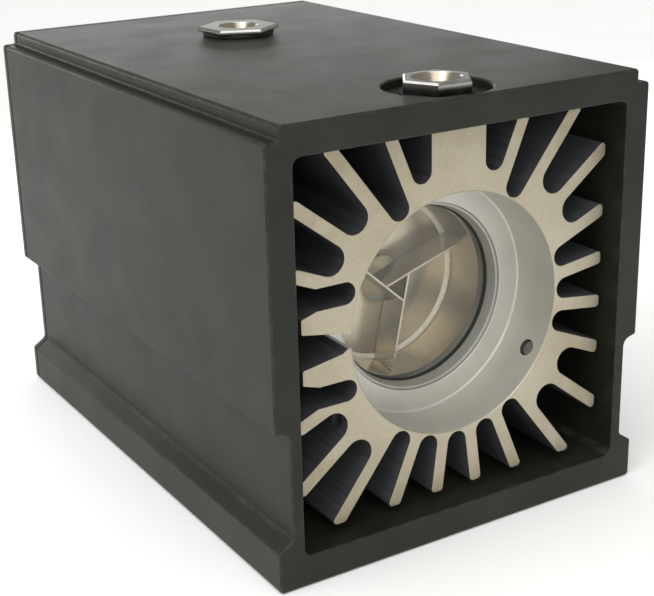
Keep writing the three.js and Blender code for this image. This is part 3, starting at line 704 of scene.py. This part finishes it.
def plastic(name, dark, light, roughness, grain=0.5):
    paint = Paint(name)
    pattern = paint.noise(grain, 4)
    paint.vary("Base Color", pattern, dark, light)
    paint.vary("Roughness", paint.noise(3, 3), roughness, roughness + 0.12)
    paint.bump(pattern, 0.012)
    return paint.material


def clear_glass():
    paint = Paint("clear_glass", color=(0.9, 0.92, 0.9), roughness=0.03, ior=1.5)
    haze = paint.noise(9, 2)
    paint.vary("Alpha", haze, 0.035, 0.06, end=0.75)
    return paint.material


CASE_BLACK = anodised_case()
CASE_EDGE = anodised_case("black_anodised_edge", 0.08)
FIN_BLACK = anodised_fins()
MILLED = milled_face()
BORE = turned_bore()
RING = ring_grey()
NICKEL = plated("nickel_plate", (0.40, 0.39, 0.36), (0.49, 0.48, 0.45))
# the heads' top faces: satin nickel painted darker than the other nickel, a painted shade that dims the
# rear light's reflection
NICKEL_TOP_SHADED = plated("satin_nickel_top_painted_shade", (0.22, 0.22, 0.205), (0.28, 0.28, 0.26), 0.36)
NICKEL_CONE = plated("nickel_plate_in_cone", (0.42, 0.37, 0.28), (0.50, 0.45, 0.36))
STEEL = spotted_metal("zinc_plated_steel", (0.46, 0.46, 0.44))
BRASS = spotted_metal("turned_brass", (0.62, 0.44, 0.17))
COPPER = spotted_metal("lacquered_copper_winding", (0.5, 0.22, 0.09))
# the cup's left is painted paler, a painted reflection; its right is rougher
CUP = tinted_mirror("polished_olive_cup", (0.54, 0.47, 0.34), (0.61, 0.54, 0.41), 0.05, 0.1, dulling_and_sheen=0.33)
CUP_FLOOR = tinted_mirror("satin_olive_cup_floor", (0.50, 0.44, 0.33), (0.56, 0.50, 0.38), 0.2, 0.06)
# painted highlight: a pale cream band along the cup's fillet, where a bright arc of light shows
FILLET_HIGHLIGHT = plastic("painted_fillet_highlight", (0.50, 0.46, 0.35), (0.66, 0.62, 0.50), 0.3, 0.9)
VANE = vane_side()
VANE_EDGE = tinted_mirror("polished_vane_edge", (0.52, 0.47, 0.37), (0.62, 0.56, 0.45), 0.25, 0.01)
RUBBER = plastic("black_rubber", (0.008, 0.008, 0.008), (0.02, 0.02, 0.02), 0.7, 0.3)
BLACK_PLASTIC = plastic("moulded_black_plastic", (0.012, 0.012, 0.012), (0.022, 0.022, 0.021), 0.38)
WHITE_PLASTIC = plastic("moulded_white_plastic", (0.72, 0.71, 0.67), (0.82, 0.81, 0.78), 0.4)
CERAMIC = plastic("fired_ceramic", (0.74, 0.72, 0.66), (0.86, 0.84, 0.80), 0.5, 0.25)
PHOSPHOR = plastic("phosphor_silicone", (0.46, 0.38, 0.20), (0.54, 0.46, 0.27), 0.3, 0.2)
RED_WIRE = plastic("red_insulation", (0.30, 0.03, 0.02), (0.38, 0.05, 0.03), 0.4, 1.0)
DARK_WIRE = plastic("dark_insulation", (0.012, 0.012, 0.014), (0.022, 0.022, 0.025), 0.4, 1.0)
GLASS = clear_glass()


def coat(obj, *materials):
    obj.data.materials.clear()
    for material in materials:
        obj.data.materials.append(material)


def piece(obj, node, material, body="lamp", smooth=32):
    """obj stands for a CAD node: it takes a material, rides on a body and hides the node."""
    crisp(obj, smooth)
    if not obj.data.materials:
        coat(obj, material)
    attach(obj, body)
    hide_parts(node)
    return obj


# ---- case and rear cover

COVER_SCREWS = [middle(f"cover_screw_{k}") for k in (1, 2, 3, 4)]
SOCKET_FRONT = middle("hanging_socket_front")
SOCKET_REAR = middle("hanging_socket_rear")


def rub_edges(body):
    """Gives the narrow faces along rounded edges the paler, rubbed finish."""
    coat(body, CASE_BLACK, CASE_EDGE)
    level, narrow = 0.97, 0.5 * MM
    corners = body.data.vertices
    for face in body.data.polygons:
        longest = max((corners[a].co - corners[b].co).length for a, b in face.edge_keys)
        slanted = max(abs(part) for part in face.normal) < level
        if slanted and face.area / longest < narrow:
            face.material_index = 1
    return body


def case():
    body = plate("case", case_outline(), [cavity_outline()], FRONT, CASE_HIGH.y, 0.5, 0.4)
    seat = box("socket_washer_front")[0].z - 0.15
    cutters = [
        put(drill(POCKET_RADIUS, seat, HEIGHT, 96, flare=0.35), y=SOCKET_FRONT.y, turn=UPRIGHT),
        put(drill(STEM_HOLE, CAVITY_TOP - 2, HEIGHT + 2), y=SOCKET_FRONT.y, turn=UPRIGHT),
        put(drill(STEM_HOLE, CAVITY_TOP - 2, HEIGHT, flare=0.3), y=SOCKET_REAR.y, turn=UPRIGHT),
    ]
    for screw in COVER_SCREWS:
        cutters.append(put(drill(COVER_SCREW_HOLE, COVER_SCREW_END, REAR, 24), x=screw.x, z=screw.z))
    return piece(rub_edges(cut(body, cutters)), "housing", CASE_BLACK)


def rear_cover():
    holes = [circle(AIR_HOLE, 96, 0, AXIS_Z), circle(6.2, 48, POWER.x, POWER.z)]
    holes += [circle(FAN_SCREW_HOLE, 24, x, AXIS_Z + z) for x, z in FAN_CORNERS]
    holes += [circle(COVER_SCREW_HOLE, 24, screw.x, screw.z) for screw in COVER_SCREWS]
    body = plate("back_plate", case_outline(), holes, COVER_LOW.y, REAR, 0.25, 0.25)
    return piece(rub_edges(body), "rear_cover", CASE_BLACK)


# ---- heat sink

def heat_sink():
    """The fin block: black from its anodising, with its front face and bores cut back to bare metal."""
    body = plate("fin_block", sink_outline(), [], SINK_FRONT, SINK_HIGH.y, 0.16, 0)
    across = Matrix.Rotation(-math.pi / 2, 4, "Z")
    wire_y = SINK_FRONT + WIRE_DEPTH
    bore_floor = SINK_FRONT + BORE_DEPTH
    lamp_floor = SINK_FRONT + LAMP_BORE_DEPTH
    in_lamp_bore, in_channel, in_bore, outside_bore, above_sink = 20, 32, 26, 38, 97
    cutters = [
        put(drill(BORE_RADIUS, bore_floor, SINK_FRONT, 128, flare=0.2, nose=0.6), z=AXIS_Z),
        put(drill(LAMP_BORE_RADIUS, lamp_floor, bore_floor, 128, flare=0.12), z=AXIS_Z),
        put(drill(WIRE_HOLE, in_lamp_bore, in_channel, 32), y=wire_y, z=AXIS_Z, turn=across.inverted()),
    ]
    for node in ("bore_grub_screw_right", "bore_grub_screw_left"):
        screw = middle(node)
        angle = math.atan2(screw.z - AXIS_Z, screw.x)
        way = Matrix.Rotation(-angle, 4, "Y") @ across
        cutters.append(put(drill(GRUB_HOLE, outside_bore, in_bore, 32), y=screw.y, z=AXIS_Z, turn=way))
    for socket in (SOCKET_FRONT, SOCKET_REAR):
        cutters.append(put(drill(STEM_HOLE, STEM_HOLE_END, above_sink), y=socket.y, turn=UPRIGHT))
    for node in ("holder_screw_lower", "holder_screw_upper"):
        hole = drill(HOLDER_SCREW_HOLE, lamp_floor + 6, lamp_floor - 2, 24)
        cutters.append(put(hole, z=middle(node).z))
    cut(body, cutters)
    coat(body, MILLED, BORE, FIN_BLACK)
    milled, bored, black = 0, 1, 2
    for face in body.data.polygons:
        x, y, z = face.center / MM
        reach = math.hypot(x, z - AXIS_Z)
        if y < SINK_FRONT + 0.12 or (y < SINK_FRONT + 0.3 and reach < BORE_RADIUS + 0.4):
            face.material_index = milled
        elif reach < BORE_RADIUS + 0.2 and y < lamp_floor + 0.1:
            face.material_index = bored
        else:
            face.material_index = black
    return piece(body, "heat_sink", MILLED)


# ---- optics

def on_axis(obj):
    return put(obj, z=AXIS_Z)


def retaining_ring():
    low, high = box("lens_retaining_ring")
    outer = LAMP_BORE_RADIUS - 0.04
    profile = [(21.2, high.y), (21.8, low.y), (outer, low.y), (outer, high.y)]
    ring = on_axis(turned("retaining_ring", profile, 128))
    return piece(ring, "lens_retaining_ring", RING)


def seal():
    low, high = box("lens_seal")
    section = (high.y - low.y) / 2
    radius = (high.x - low.x) / 2 - section
    bm = bmesh.new()
    loop = [Vector((p.x, (low.y + high.y) / 2, p.y)) for p in circle(radius, 128)]
    tube(bm, loop, section, 12, closed=True)
    return piece(on_axis(new_object("o_ring", bm)), "lens_seal", RUBBER)


def window():
    low, high = box("cover_glass")
    radius = (high.x - low.x) / 2
    profile = [(0, low.y), (radius, low.y), (radius, high.y), (0, high.y)]
    return piece(on_axis(turned("window", profile, 128, 0.3)), "cover_glass", GLASS)


def pressed(angle, radius, y):
    """How far the cup's wall stands off its circle: wavy on its left, dented where each vane is tacked."""
    if radius < CUP_RADIUS - 0.1:
        return 0
    spot = Vector((math.cos(angle) * 1.9, math.sin(angle) * 1.9, y * 0.16))
    calmest = math.radians(-35)
    wavy = 0.5 - 0.5 * math.cos(angle - calmest)
    waves = noise.noise(spot * 1.7) * 0.75 + noise.noise(spot * 3.6) * 0.42
    dent_size = 1.6
    dents = 0
    for degrees in DIVIDER_ANGLES:
        turn = angle - math.radians(degrees) - DIVIDER_OFFSET / CUP_RADIUS
        turn = (turn + math.pi) % (2 * math.pi) - math.pi
        beside = turn * CUP_RADIUS / dent_size
        above = (y - box("light_divider")[0].y + 1.2) / dent_size
        dents += math.exp(-beside * beside - above * above)
    return wavy ** 2.4 * waves * 1.15 - 0.16 * dents


def cup():
    low, high = box("reflector_cup")
    flange = (high.x - low.x) / 2
    wall, mouth, fillet, rows, light_hole = 0.8, 20.9, 1.3, 22, 5.6
    floor = high.y - wall
    profile = [(light_hole, high.y), (light_hole, floor)]
    profile += [(CUP_RADIUS * k / 8, floor) for k in (3, 4, 5, 6, 7)]
    for k in range(7):
        angle = math.pi / 2 * k / 6
        reach = CUP_RADIUS - fillet * (1 - math.sin(angle))
        profile.append((reach, floor - fillet * (1 - math.cos(angle))))
    wall_start, wall_end = Vector((CUP_RADIUS, floor - fillet)), Vector((mouth, low.y))
    profile += [wall_start.lerp(wall_end, k / rows) for k in range(1, rows + 1)]
    profile += [(flange, low.y), (flange, low.y + wall)]
    profile += [(mouth + wall, low.y + wall), (CUP_RADIUS + wall, high.y)]
    body = turned("light_cup", profile, 192, 0.1, pressed)
    coat(body, CUP, FILLET_HIGHLIGHT, CUP_FLOOR)
    for face in body.data.polygons:
        x, y, z = face.center / MM
        if math.hypot(x, z) < CUP_RADIUS - fillet and abs(y - floor) < 0.1:
            face.material_index = 2
        # painted highlight: the fillet's band just above the floor takes the pale cream colour
        in_corner = CUP_RADIUS - fillet < math.hypot(x, z) < CUP_RADIUS + 0.05 and y < floor - 0.02
        if in_corner and y > floor - 0.8:
            face.material_index = 1
    return piece(on_axis(body), "reflector_cup", CUP, smooth=50)


def divider():
    """Three vanes set like a pinwheel, each from its neighbour's side to a small tack at the cup's wall."""
    low, high = box("light_divider")
    reach = CUP_RADIUS + 0.1
    start = -DIVIDER_OFFSET * math.sqrt(3)
    end = math.sqrt(reach ** 2 - DIVIDER_OFFSET ** 2)
    near, far = DIVIDER_OFFSET - DIVIDER_THICKNESS / 2, DIVIDER_OFFSET + DIVIDER_THICKNESS / 2
    outline = rounded([(start, near, 0.1), (end, near, 0.1), (end, far, 0.1), (start, far, 0.1)], 30)
    bm = bmesh.new()
    for degrees in DIVIDER_ANGLES:
        way = Matrix.Rotation(math.radians(degrees), 2)
        add_plate(bm, [way @ point for point in outline], [], low.y, high.y, 0.15, 0)
    tack = 0.5
    for degrees in DIVIDER_ANGLES:
        spot = Matrix.Rotation(math.radians(degrees), 2) @ Vector((end - 2 * tack, DIVIDER_OFFSET))
        place = Matrix.Translation((spot.x, low.y + tack, spot.y))
        bmesh.ops.create_icosphere(bm, subdivisions=3, radius=tack, matrix=place)
    body = new_object("vanes", bm)
    coat(body, VANE, VANE_EDGE)
    for face in body.data.polygons:
        if face.center.y < (low.y + 0.2) * MM or face.area < (0.2 * MM) ** 2:
            face.material_index = 1
    return piece(on_axis(body), "light_divider", VANE)


# ---- hexagons and screws

def hexagon_reach(apothem, angle):
    """How far a hexagon's side is from its middle, in the direction of the angle."""
    sixth = math.pi / 3
    return apothem / math.cos((angle + sixth / 2) % sixth - sixth / 2)


def add_shaped_rows(bm, rows, sides, closed=True):
    """Rings about Y. Each row is a (radius, y) pair, or a function of the angle that gives one."""
    rings = []
    for row in rows:
        ring = []
        for k in range(sides):
            angle = 2 * math.pi * k / sides
            radius, y = row(angle) if callable(row) else row
            ring.append(Vector((radius * math.cos(angle), y, radius * math.sin(angle))))
        rings.append(ring)
    return add_rows(bm, rings, closed)


def hexagon_rows(apothem, bottom, top, bevel=0.3):
    """The outside of a hexagonal head from its top face down, with bevelled edges."""
    def row(inset, height):
        return lambda angle: (hexagon_reach(apothem - inset, angle), height)

    return [
        row(bevel + 0.08, top),
        row(bevel, top - 0.02),
        row(0.04, top - bevel),
        row(0, top - bevel - 0.1),
        row(0, bottom + 0.12),
        row(0.12, bottom),
    ]


def hanging_socket(end, across_flats, mouth, turn):
    """A hexagon-headed socket: a wide cone leads down to the thread in its closed stem."""
    low, high = box(f"hanging_socket_{end}")
    bottom = box(f"socket_washer_{end}")[1].z + 0.15
    floor, cone_bottom = low.z + 2, high.z - 5
    pitch, thread, steps = 1.0, 0.28, 44

    def thread_row(height):
        def row(angle):
            phase = (height / pitch + angle / (2 * math.pi)) % 1
            return STEM_BORE - thread * (1 - abs(2 * phase - 1)), height
        return row

    rows = [(STEM_BORE - 0.3, floor)]
    rows += [thread_row(floor + 0.2 + (cone_bottom - floor - 0.2) * k / steps) for k in range(steps + 1)]
    rows += [(STEM_BORE + 0.05, cone_bottom + 0.05), (mouth - 0.15, high.z - 0.25), (mouth, high.z)]
    rows += hexagon_rows(across_flats / 2, bottom, high.z, 0.45)
    rows += [(STEM_RADIUS, bottom), (STEM_RADIUS, low.z + 0.3), (STEM_RADIUS - 0.3, low.z)]
    bm = bmesh.new()
    rings = add_shaped_rows(bm, rows, 120, closed=False)
    bm.faces.new(rings[0])
    bm.faces.new(rings[-1])
    obj = new_object(f"hexagon_socket_{end}", bm)
    coat(obj, NICKEL, NICKEL_CONE, NICKEL_TOP_SHADED)
    for face in obj.data.polygons:
        centre = face.center / MM
        reach = math.hypot(centre.x, centre.z)
        if reach < mouth - 0.2 and centre.y > floor:
            face.material_index = 1
        elif reach > mouth and centre.y > high.z - 0.03:
            # painted shade: these top faces take the darker satin nickel
            face.material_index = 2
    place = SOCKET_FRONT if end == "front" else SOCKET_REAR
    put(obj, y=place.y, turn=UPRIGHT @ Matrix.Rotation(math.radians(turn), 4, "Y"))
    return piece(obj, f"hanging_socket_{end}", NICKEL, smooth=24)


def washer(end):
    node = f"socket_washer_{end}"
    low, high = box(node)
    outer = (high.x - low.x) / 2
    profile = [(STEM_HOLE, high.z), (STEM_HOLE, low.z), (outer, low.z), (outer, high.z)]
    obj = turned(f"washer_{end}", profile, 96, 0.18)
    put(obj, y=(low.y + high.y) / 2, turn=UPRIGHT)
    return piece(obj, node, RUBBER)


def key_socket(radius, y_from, y_to):
    """A hexagonal cutter for a key socket."""
    bm = bmesh.new()
    add_plate(bm, circle(radius, 6), [], min(y_from, y_to), max(y_from, y_to), 0.01, 0)
    return new_object("cutter", bm)


def button_screw(node, head_radius, head_height, radius, length, key):
    """A domed screw with a hexagonal key socket. Its head rests on y = 0 and points to -Y."""
    profile = [(0, -head_height)]
    arc = 8
    for k in range(1, arc + 1):
        angle = math.radians(25 + 65 * k / arc)
        reach = head_radius * (math.sin(angle) - math.sin(math.radians(25)) * (1 - k / arc))
        profile.append((reach, -head_height * math.cos(math.radians(90 * (k / arc) ** 1.6))))
    profile += [(head_radius, 0), (radius, 0)]
    pitch = 0.5
    count = int((length - 1) / pitch)
    for k in range(count):
        y = 0.6 + k * pitch
        profile += [(radius, y), (radius - 0.14, y + pitch / 2)]
    profile += [(radius, length - 0.4), (radius - 0.35, length), (0, length)]
    bm = bmesh.new()
    add_turned(bm, profile, 40)
    body = new_object(node.replace("screw", "bolt"), bm)
    cut(body, [key_socket(key, -head_height - 1, -head_height * 0.4)])
    return body


def screws():
    """All the headed screws, each turned and moved to where its CAD solid is."""
    kinds = {
        "cover_screw": dict(head_radius=2.6, head_height=1.7, radius=1.4, length=12, key=1.25),
        "fan_screw": dict(head_radius=4, head_height=2.2, radius=1.9, length=28, key=1.5),
    }
    for kind, sizes in kinds.items():
        for k in (1, 2, 3, 4):
            node = f"{kind}_{k}"
            low, high = box(node)
            body = button_screw(node, **sizes)
            seat = high.y - sizes["head_height"]
            put(body, x=(low.x + high.x) / 2, y=seat, z=(low.z + high.z) / 2, turn=BACKWARD)
            piece(body, node, STEEL)
    for side in ("lower", "upper"):
        node = f"holder_screw_{side}"
        low, high = box(node)
        body = button_screw(node, 2.4, 0.45, 1.25, 8.5, 0.9)
        put(body, y=low.y + 0.45, z=(low.z + high.z) / 2)
        piece(body, node, STEEL)


def grub_screws():
    for side in ("right", "left"):
        node = f"bore_grub_screw_{side}"
        low, high = box(node)
        centre = (low + high) / 2
        angle = math.atan2(centre.z - AXIS_Z, centre.x)
        half = 2.75
        body = turned(f"grub_{side}", [(0, -half), (1.8, -half), (1.8, half), (0, half)], 40, 0.25)
        cut(body, [key_socket(1.0, half + 1, 0.5)])
        way = Matrix.Rotation(-angle, 4, "Y") @ Matrix.Rotation(-math.pi / 2, 4, "Z")
        put(body, x=centre.x, y=centre.y, z=centre.z, turn=way)
        piece(body, node, STEEL)


def nut(node, across_flats, bore, thickness, material):
    low, high = box(node)
    bm = bmesh.new()
    rows = hexagon_rows(across_flats / 2, 0, thickness)
    rows += [(bore + 0.3, 0), (bore, 0.3), (bore, thickness - 0.3), (bore + 0.3, thickness)]
    add_shaped_rows(bm, rows, 96)
    obj = new_object(node.replace("nut", "hexagon_nut"), bm)
    put(obj, x=(low.x + high.x) / 2, y=low.y, z=(low.z + high.z) / 2)
    return piece(obj, node, material, smooth=24)


# ---- fan

def fan_frame():
    low, high = box("fan_frame")
    half, front, rear = (high.x - low.x) / 2, low.y, high.y
    corner, flange, hub, hub_plate, tube_outside, tube_inside = 4, 4, 15, 3, 5, 3.65
    square = rounded([(x * half, z * half, corner) for x, z in ((-1, -1), (1, -1), (1, 1), (-1, 1))])
    holes = [circle(AIR_HOLE, 96)] + [circle(FAN_SCREW_HOLE, 24, x, z) for x, z in FAN_CORNERS]
    bm = bmesh.new()
    for y in (front, rear - flange):
        add_plate(bm, square, holes, y, y + flange, 0.4, 0.4)
    add_plate(bm, circle(half - 0.1, 96), [circle(AIR_HOLE, 96)], front + 1, rear - 1, 0.1, 0.1)
    add_plate(bm, circle(hub, 64), [], front, front + hub_plate, 0.5, 0)
    for degrees in (20, 110, 200, 290):
        way = Matrix.Rotation(math.radians(degrees), 2)
        strut = rounded([(14, -1, 0.2), (29, -1, 0.2), (29, 1, 0.2), (14, 1, 0.2)], 45)
        add_plate(bm, [way @ point for point in strut], [], front, front + hub_plate, 0.4, 0)
    middle_y = (front + rear) / 2
    tube_hole = circle(tube_inside, 48)
    add_plate(bm, circle(tube_outside, 48), [tube_hole], front + 1.5, middle_y + 6.5, 0.2, 0.2)
    return piece(on_axis(new_object("fan_body", bm)), "fan_frame", BLACK_PLASTIC)


def add_blade(bm, turn):
    """A twisted, cambered blade, its chord flatter towards the tip, with rounded edges."""
    spans, steps, chord, half, root, tip = 10, 12, 15, 0.55, 14.7, 27.4
    root_pitch, untwist, camber_height = 48, 18, 1.4
    rows = []
    for span in range(spans + 1):
        along_span = span / spans
        radius = root + (tip - root) * along_span
        pitch = math.radians(root_pitch - untwist * along_span)
        ring = []
        for k in range(2 * steps):
            side = 1 if k < steps else -1
            place = (k if k < steps else 2 * steps - k) / steps
            along = place - 0.5
            thick = half * min(1.0, 4 * math.sqrt(max(0.0, place * (1 - place))) + 0.15)
            camber = camber_height * (1 - 4 * along * along) + side * thick
            around = (chord * along * math.cos(pitch) - camber * math.sin(pitch)) / radius + turn
            axial = chord * along * math.sin(pitch) + camber * math.cos(pitch) + 1
            ring.append(Vector((radius * math.cos(around), axial, radius * math.sin(around))))
        rows.append(ring)
    rings = add_rows(bm, rows)
    bm.faces.new(rings[0])
    bm.faces.new(rings[-1])


def fan_rotor():
    bm = bmesh.new()
    hub = [
        (0, 7.6), (3.2, 7.6), (3.2, 7.61), (14.1, 7.6), (14.1, -6.2), (15.5, -6.2), (15.5, 8), (14.9, 8.8),
        (13.5, 9), (4, 9), (3.4, 8.8), (0, 8.8),
    ]
    add_turned(bm, softened(hub, 0.3), 96)
    for k in range(BLADE_COUNT):
        add_blade(bm, -2 * math.pi * k / BLADE_COUNT)
    obj = put(new_object("fan_wheel", bm), y=FAN_MIDDLE, z=AXIS_Z)
    return piece(obj, "fan_rotor", BLACK_PLASTIC, "rotor")


def fan_guard():
    low, high = box("fan_guard")
    wire, eye = 0.9, 3.3
    y = low.y + 0.2 + wire
    bm = bmesh.new()
    for radius in (26, 19.5, 13, 6.5):
        tube(bm, [Vector((p.x, y - wire, p.y)) for p in circle(radius, 96)], wire, 12, closed=True)
    reach = 25 * math.sqrt(2)
    for x, z in ((1, 1), (-1, 1), (-1, -1), (1, -1)):
        way = Vector((x, 0, z)).normalized()
        start, end = way * 1.0, way * (reach - eye + 0.2)
        lift = Vector((0, y, 0))
        tube(bm, [start + lift, (start + end) / 2 + lift, end + lift], wire * 0.98, 12)
        middle_of_eye = way * reach + lift
        loop = [Vector((p.x, 0, p.y)) + middle_of_eye for p in circle(eye, 40)]
        tube(bm, loop, wire * 0.98, 12, closed=True)
    button = [(0, low.y), (1.4, low.y), (1.4, high.y - 0.3), (1.0, high.y), (0, high.y)]
    add_turned(bm, softened(button, 0.2), 32)
    return piece(on_axis(new_object("wire_guard", bm)), "fan_guard", STEEL)


# ---- power socket and wires

def power_socket():
    low, high = box("power_socket_shell")
    flange_front = REAR + 0.15
    bore, barrel, flange, collar = 5.2, 5.9, 8.2, 6.7
    profile = [
        (bore, low.y), (barrel, low.y), (barrel, flange_front), (flange, flange_front),
        (flange, flange_front + 1.6), (collar, flange_front + 1.6), (collar, high.y), (bore, high.y),
    ]
    shell = turned("inlet_shell", profile, 72, 0.25)
    piece(put(shell, x=POWER.x, z=POWER.z), "power_socket_shell", NICKEL)
    low, high = box("power_socket_insert")
    holes = [circle(0.8, 20, pin.x, pin.z) for pin in PINS]
    insert = plate("inlet_insert", circle(5, 64, POWER.x, POWER.z), holes, low.y, high.y, 0.3, 0.1)
    piece(insert, "power_socket_insert", BLACK_PLASTIC)
    for k, pin in enumerate(PINS, 1):
        node = f"power_socket_pin_{k}"
        low, high = box(node)
        profile = [(0, low.y), (0.6, low.y), (0.6, high.y - 0.6), (0, high.y)]
        body = turned(f"contact_{k}", profile, 24, 0.25)
        piece(put(body, x=pin.x, z=pin.z), node, BRASS)
    nut("power_socket_nut", 14, 6.1, 2.5, NICKEL)


def wire(name, node, knots, radius, material, slot):
    bm = bmesh.new()
    tube(bm, smooth_path([Vector(knot) for knot in knots]), radius, 14)
    return piece(new_object(name, bm), node, material, smooth=60)


def wires():
    pin_front = box("power_socket_pin_1")[0].y - 0.3
    layer = SINK_FRONT + WIRE_DEPTH
    kinds = (
        ("positive", 1, PINS[0], RED_WIRE, "red_insulation"),
        ("negative", -1, PINS[1], DARK_WIRE, "dark_insulation"),
    )
    for name, side, pin, material, slot in kinds:
        z = AXIS_Z + side * 1.1
        knots = [
            (-8.2, layer, z), (-16, layer, z), (-24, layer, z), (-30, layer, z),
            (-32.4, layer + 2.5, z), (-32.5, layer + 12, z), (-32.5, 20, z), (-32.8, 38, z),
            (pin.x, 45, z - 5), (pin.x, 46, AXIS_Z - 14), (pin.x, 46, pin.z + 10),
            (pin.x, 48, pin.z + 2.5), (pin.x, 52, pin.z), (pin.x, pin_front, pin.z),
        ]
        wire(f"{name}_wire", f"led_wire_{name}", knots, 0.7, material, slot)
    x, z = PINS[2].x, PINS[2].z
    knots = [
        (-30.3, 55, 44), (-32.5, 55, 43.5), (-34.7, 55, 40), (x, 55, 32), (x, 55, z + 7), (x, 56, z + 2),
        (x, 58, z), (x, pin_front, z),
    ]
    wire("fan_wire", "fan_lead", knots, 0.6, DARK_WIRE, "dark_insulation")


# ---- CAD shapes that stay

def finish_cad_nodes():
    finishes = {
        "led_holder": WHITE_PLASTIC,
        "led_board": CERAMIC,
        "led_emitter": PHOSPHOR,
        "fan_bearing": BRASS,
        "fan_stator": COPPER,
        "fan_shaft": STEEL,
    }
    for node, material in finishes.items():
        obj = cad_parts[node]
        coat(obj, material)
        bevel = obj.modifiers.new("edges", "BEVEL")
        bevel.width = 0.12 * MM
        bevel.segments = 2
        bevel.limit_method = "ANGLE"
        bevel.angle_limit = math.radians(50)


# ---- camera, floor and light

CAMERA_AT = (-174.5, -299.6, 160.8)
CAMERA_AIM = (-18.1, -42.5, 52.1)
CAMERA_ROLL = 1.46
CAMERA_LENS = 76.4


def aimed(at, aim):
    """A place in the scene for something that stands at one point and looks at another."""
    way = (Vector(aim) - Vector(at)).to_track_quat("-Z", "Y").to_matrix().to_4x4()
    return Matrix.Translation(Vector(at) * MM) @ way


def camera():
    data = bpy.data.cameras.new("camera")
    data.lens = CAMERA_LENS
    data.sensor_width = 36
    data.clip_start = 0.01
    data.clip_end = 20
    obj = in_scene("camera", data)
    roll = Matrix.Rotation(math.radians(-CAMERA_ROLL), 4, "Z")
    obj.matrix_world = aimed(CAMERA_AT, CAMERA_AIM) @ roll
    bpy.context.scene.camera = obj


def floor():
    bm = bmesh.new()
    sides, reach, just_below_case = 96, 2500, -0.2
    centre = bm.verts.new((0, 0, just_below_case))
    rim = [bm.verts.new((p.x, p.y, just_below_case)) for p in circle(reach, sides)]
    for k in range(sides):
        bm.faces.new((centre, rim[k], rim[(k + 1) % sides]))
    obj = new_object("floor", bm)
    paint = Paint("white_paper")
    clouds = paint.noise(60, 3)
    paint.vary("Base Color", clouds, (0.91, 0.91, 0.905), (0.93, 0.93, 0.925))
    paint.vary("Roughness", paint.noise(2, 4), 0.75, 0.85)
    coat(obj, paint.material)


def softbox(name, at, aim, size, watts):
    data = bpy.data.lights.new(name, "AREA")
    data.shape = "RECTANGLE"
    data.size, data.size_y = size[0] * MM, size[1] * MM
    data.energy = watts
    obj = in_scene(name, data)
    obj.matrix_world = aimed(at, aim)
    obj.visible_camera = False
    return obj


def studio():
    world = bpy.data.worlds.new("studio")
    world.use_nodes = True
    background = world.node_tree.nodes["Background"]
    background.inputs["Color"].default_value = (1.0, 0.99, 0.96, 1)
    background.inputs["Strength"].default_value = 0.38
    bpy.context.scene.world = world
    softbox("key", (-706, -375, 671), (0, -60, 90), (260, 420), 1.4)
    softbox("rear", (60, 400, 125), (0, 0, 104), (700, 80), 0.66)
    fill = softbox("fill", (-260, -950, 330), (0, -60, 50), (800, 600), 4)
    fill.visible_glossy = False
    overhead = bpy.data.lights.new("overhead", "SUN")
    overhead.energy = 2.25
    overhead.angle = math.radians(80)
    overhead_object = in_scene("overhead", overhead)
    overhead_object.rotation_euler = Vector((-0.4, -0.25, 1)).to_track_quat("Z", "Y").to_euler()
    bpy.context.scene.view_settings.view_transform = "Standard"


# ---- build

camera()
floor()
studio()
case()
rear_cover()
heat_sink()
retaining_ring()
seal()
window()
cup()
divider()
hanging_socket("front", 14.6, 5.6, 26.5)
hanging_socket("rear", 18.6, 5.3, 66)
washer("front")
washer("rear")
screws()
grub_screws()
for number in (1, 2, 3, 4):
    nut(f"fan_nut_{number}", 7, 2.1, 3, STEEL)
fan_frame()
fan_rotor()
fan_guard()
power_socket()
wires()
finish_cad_nodes()
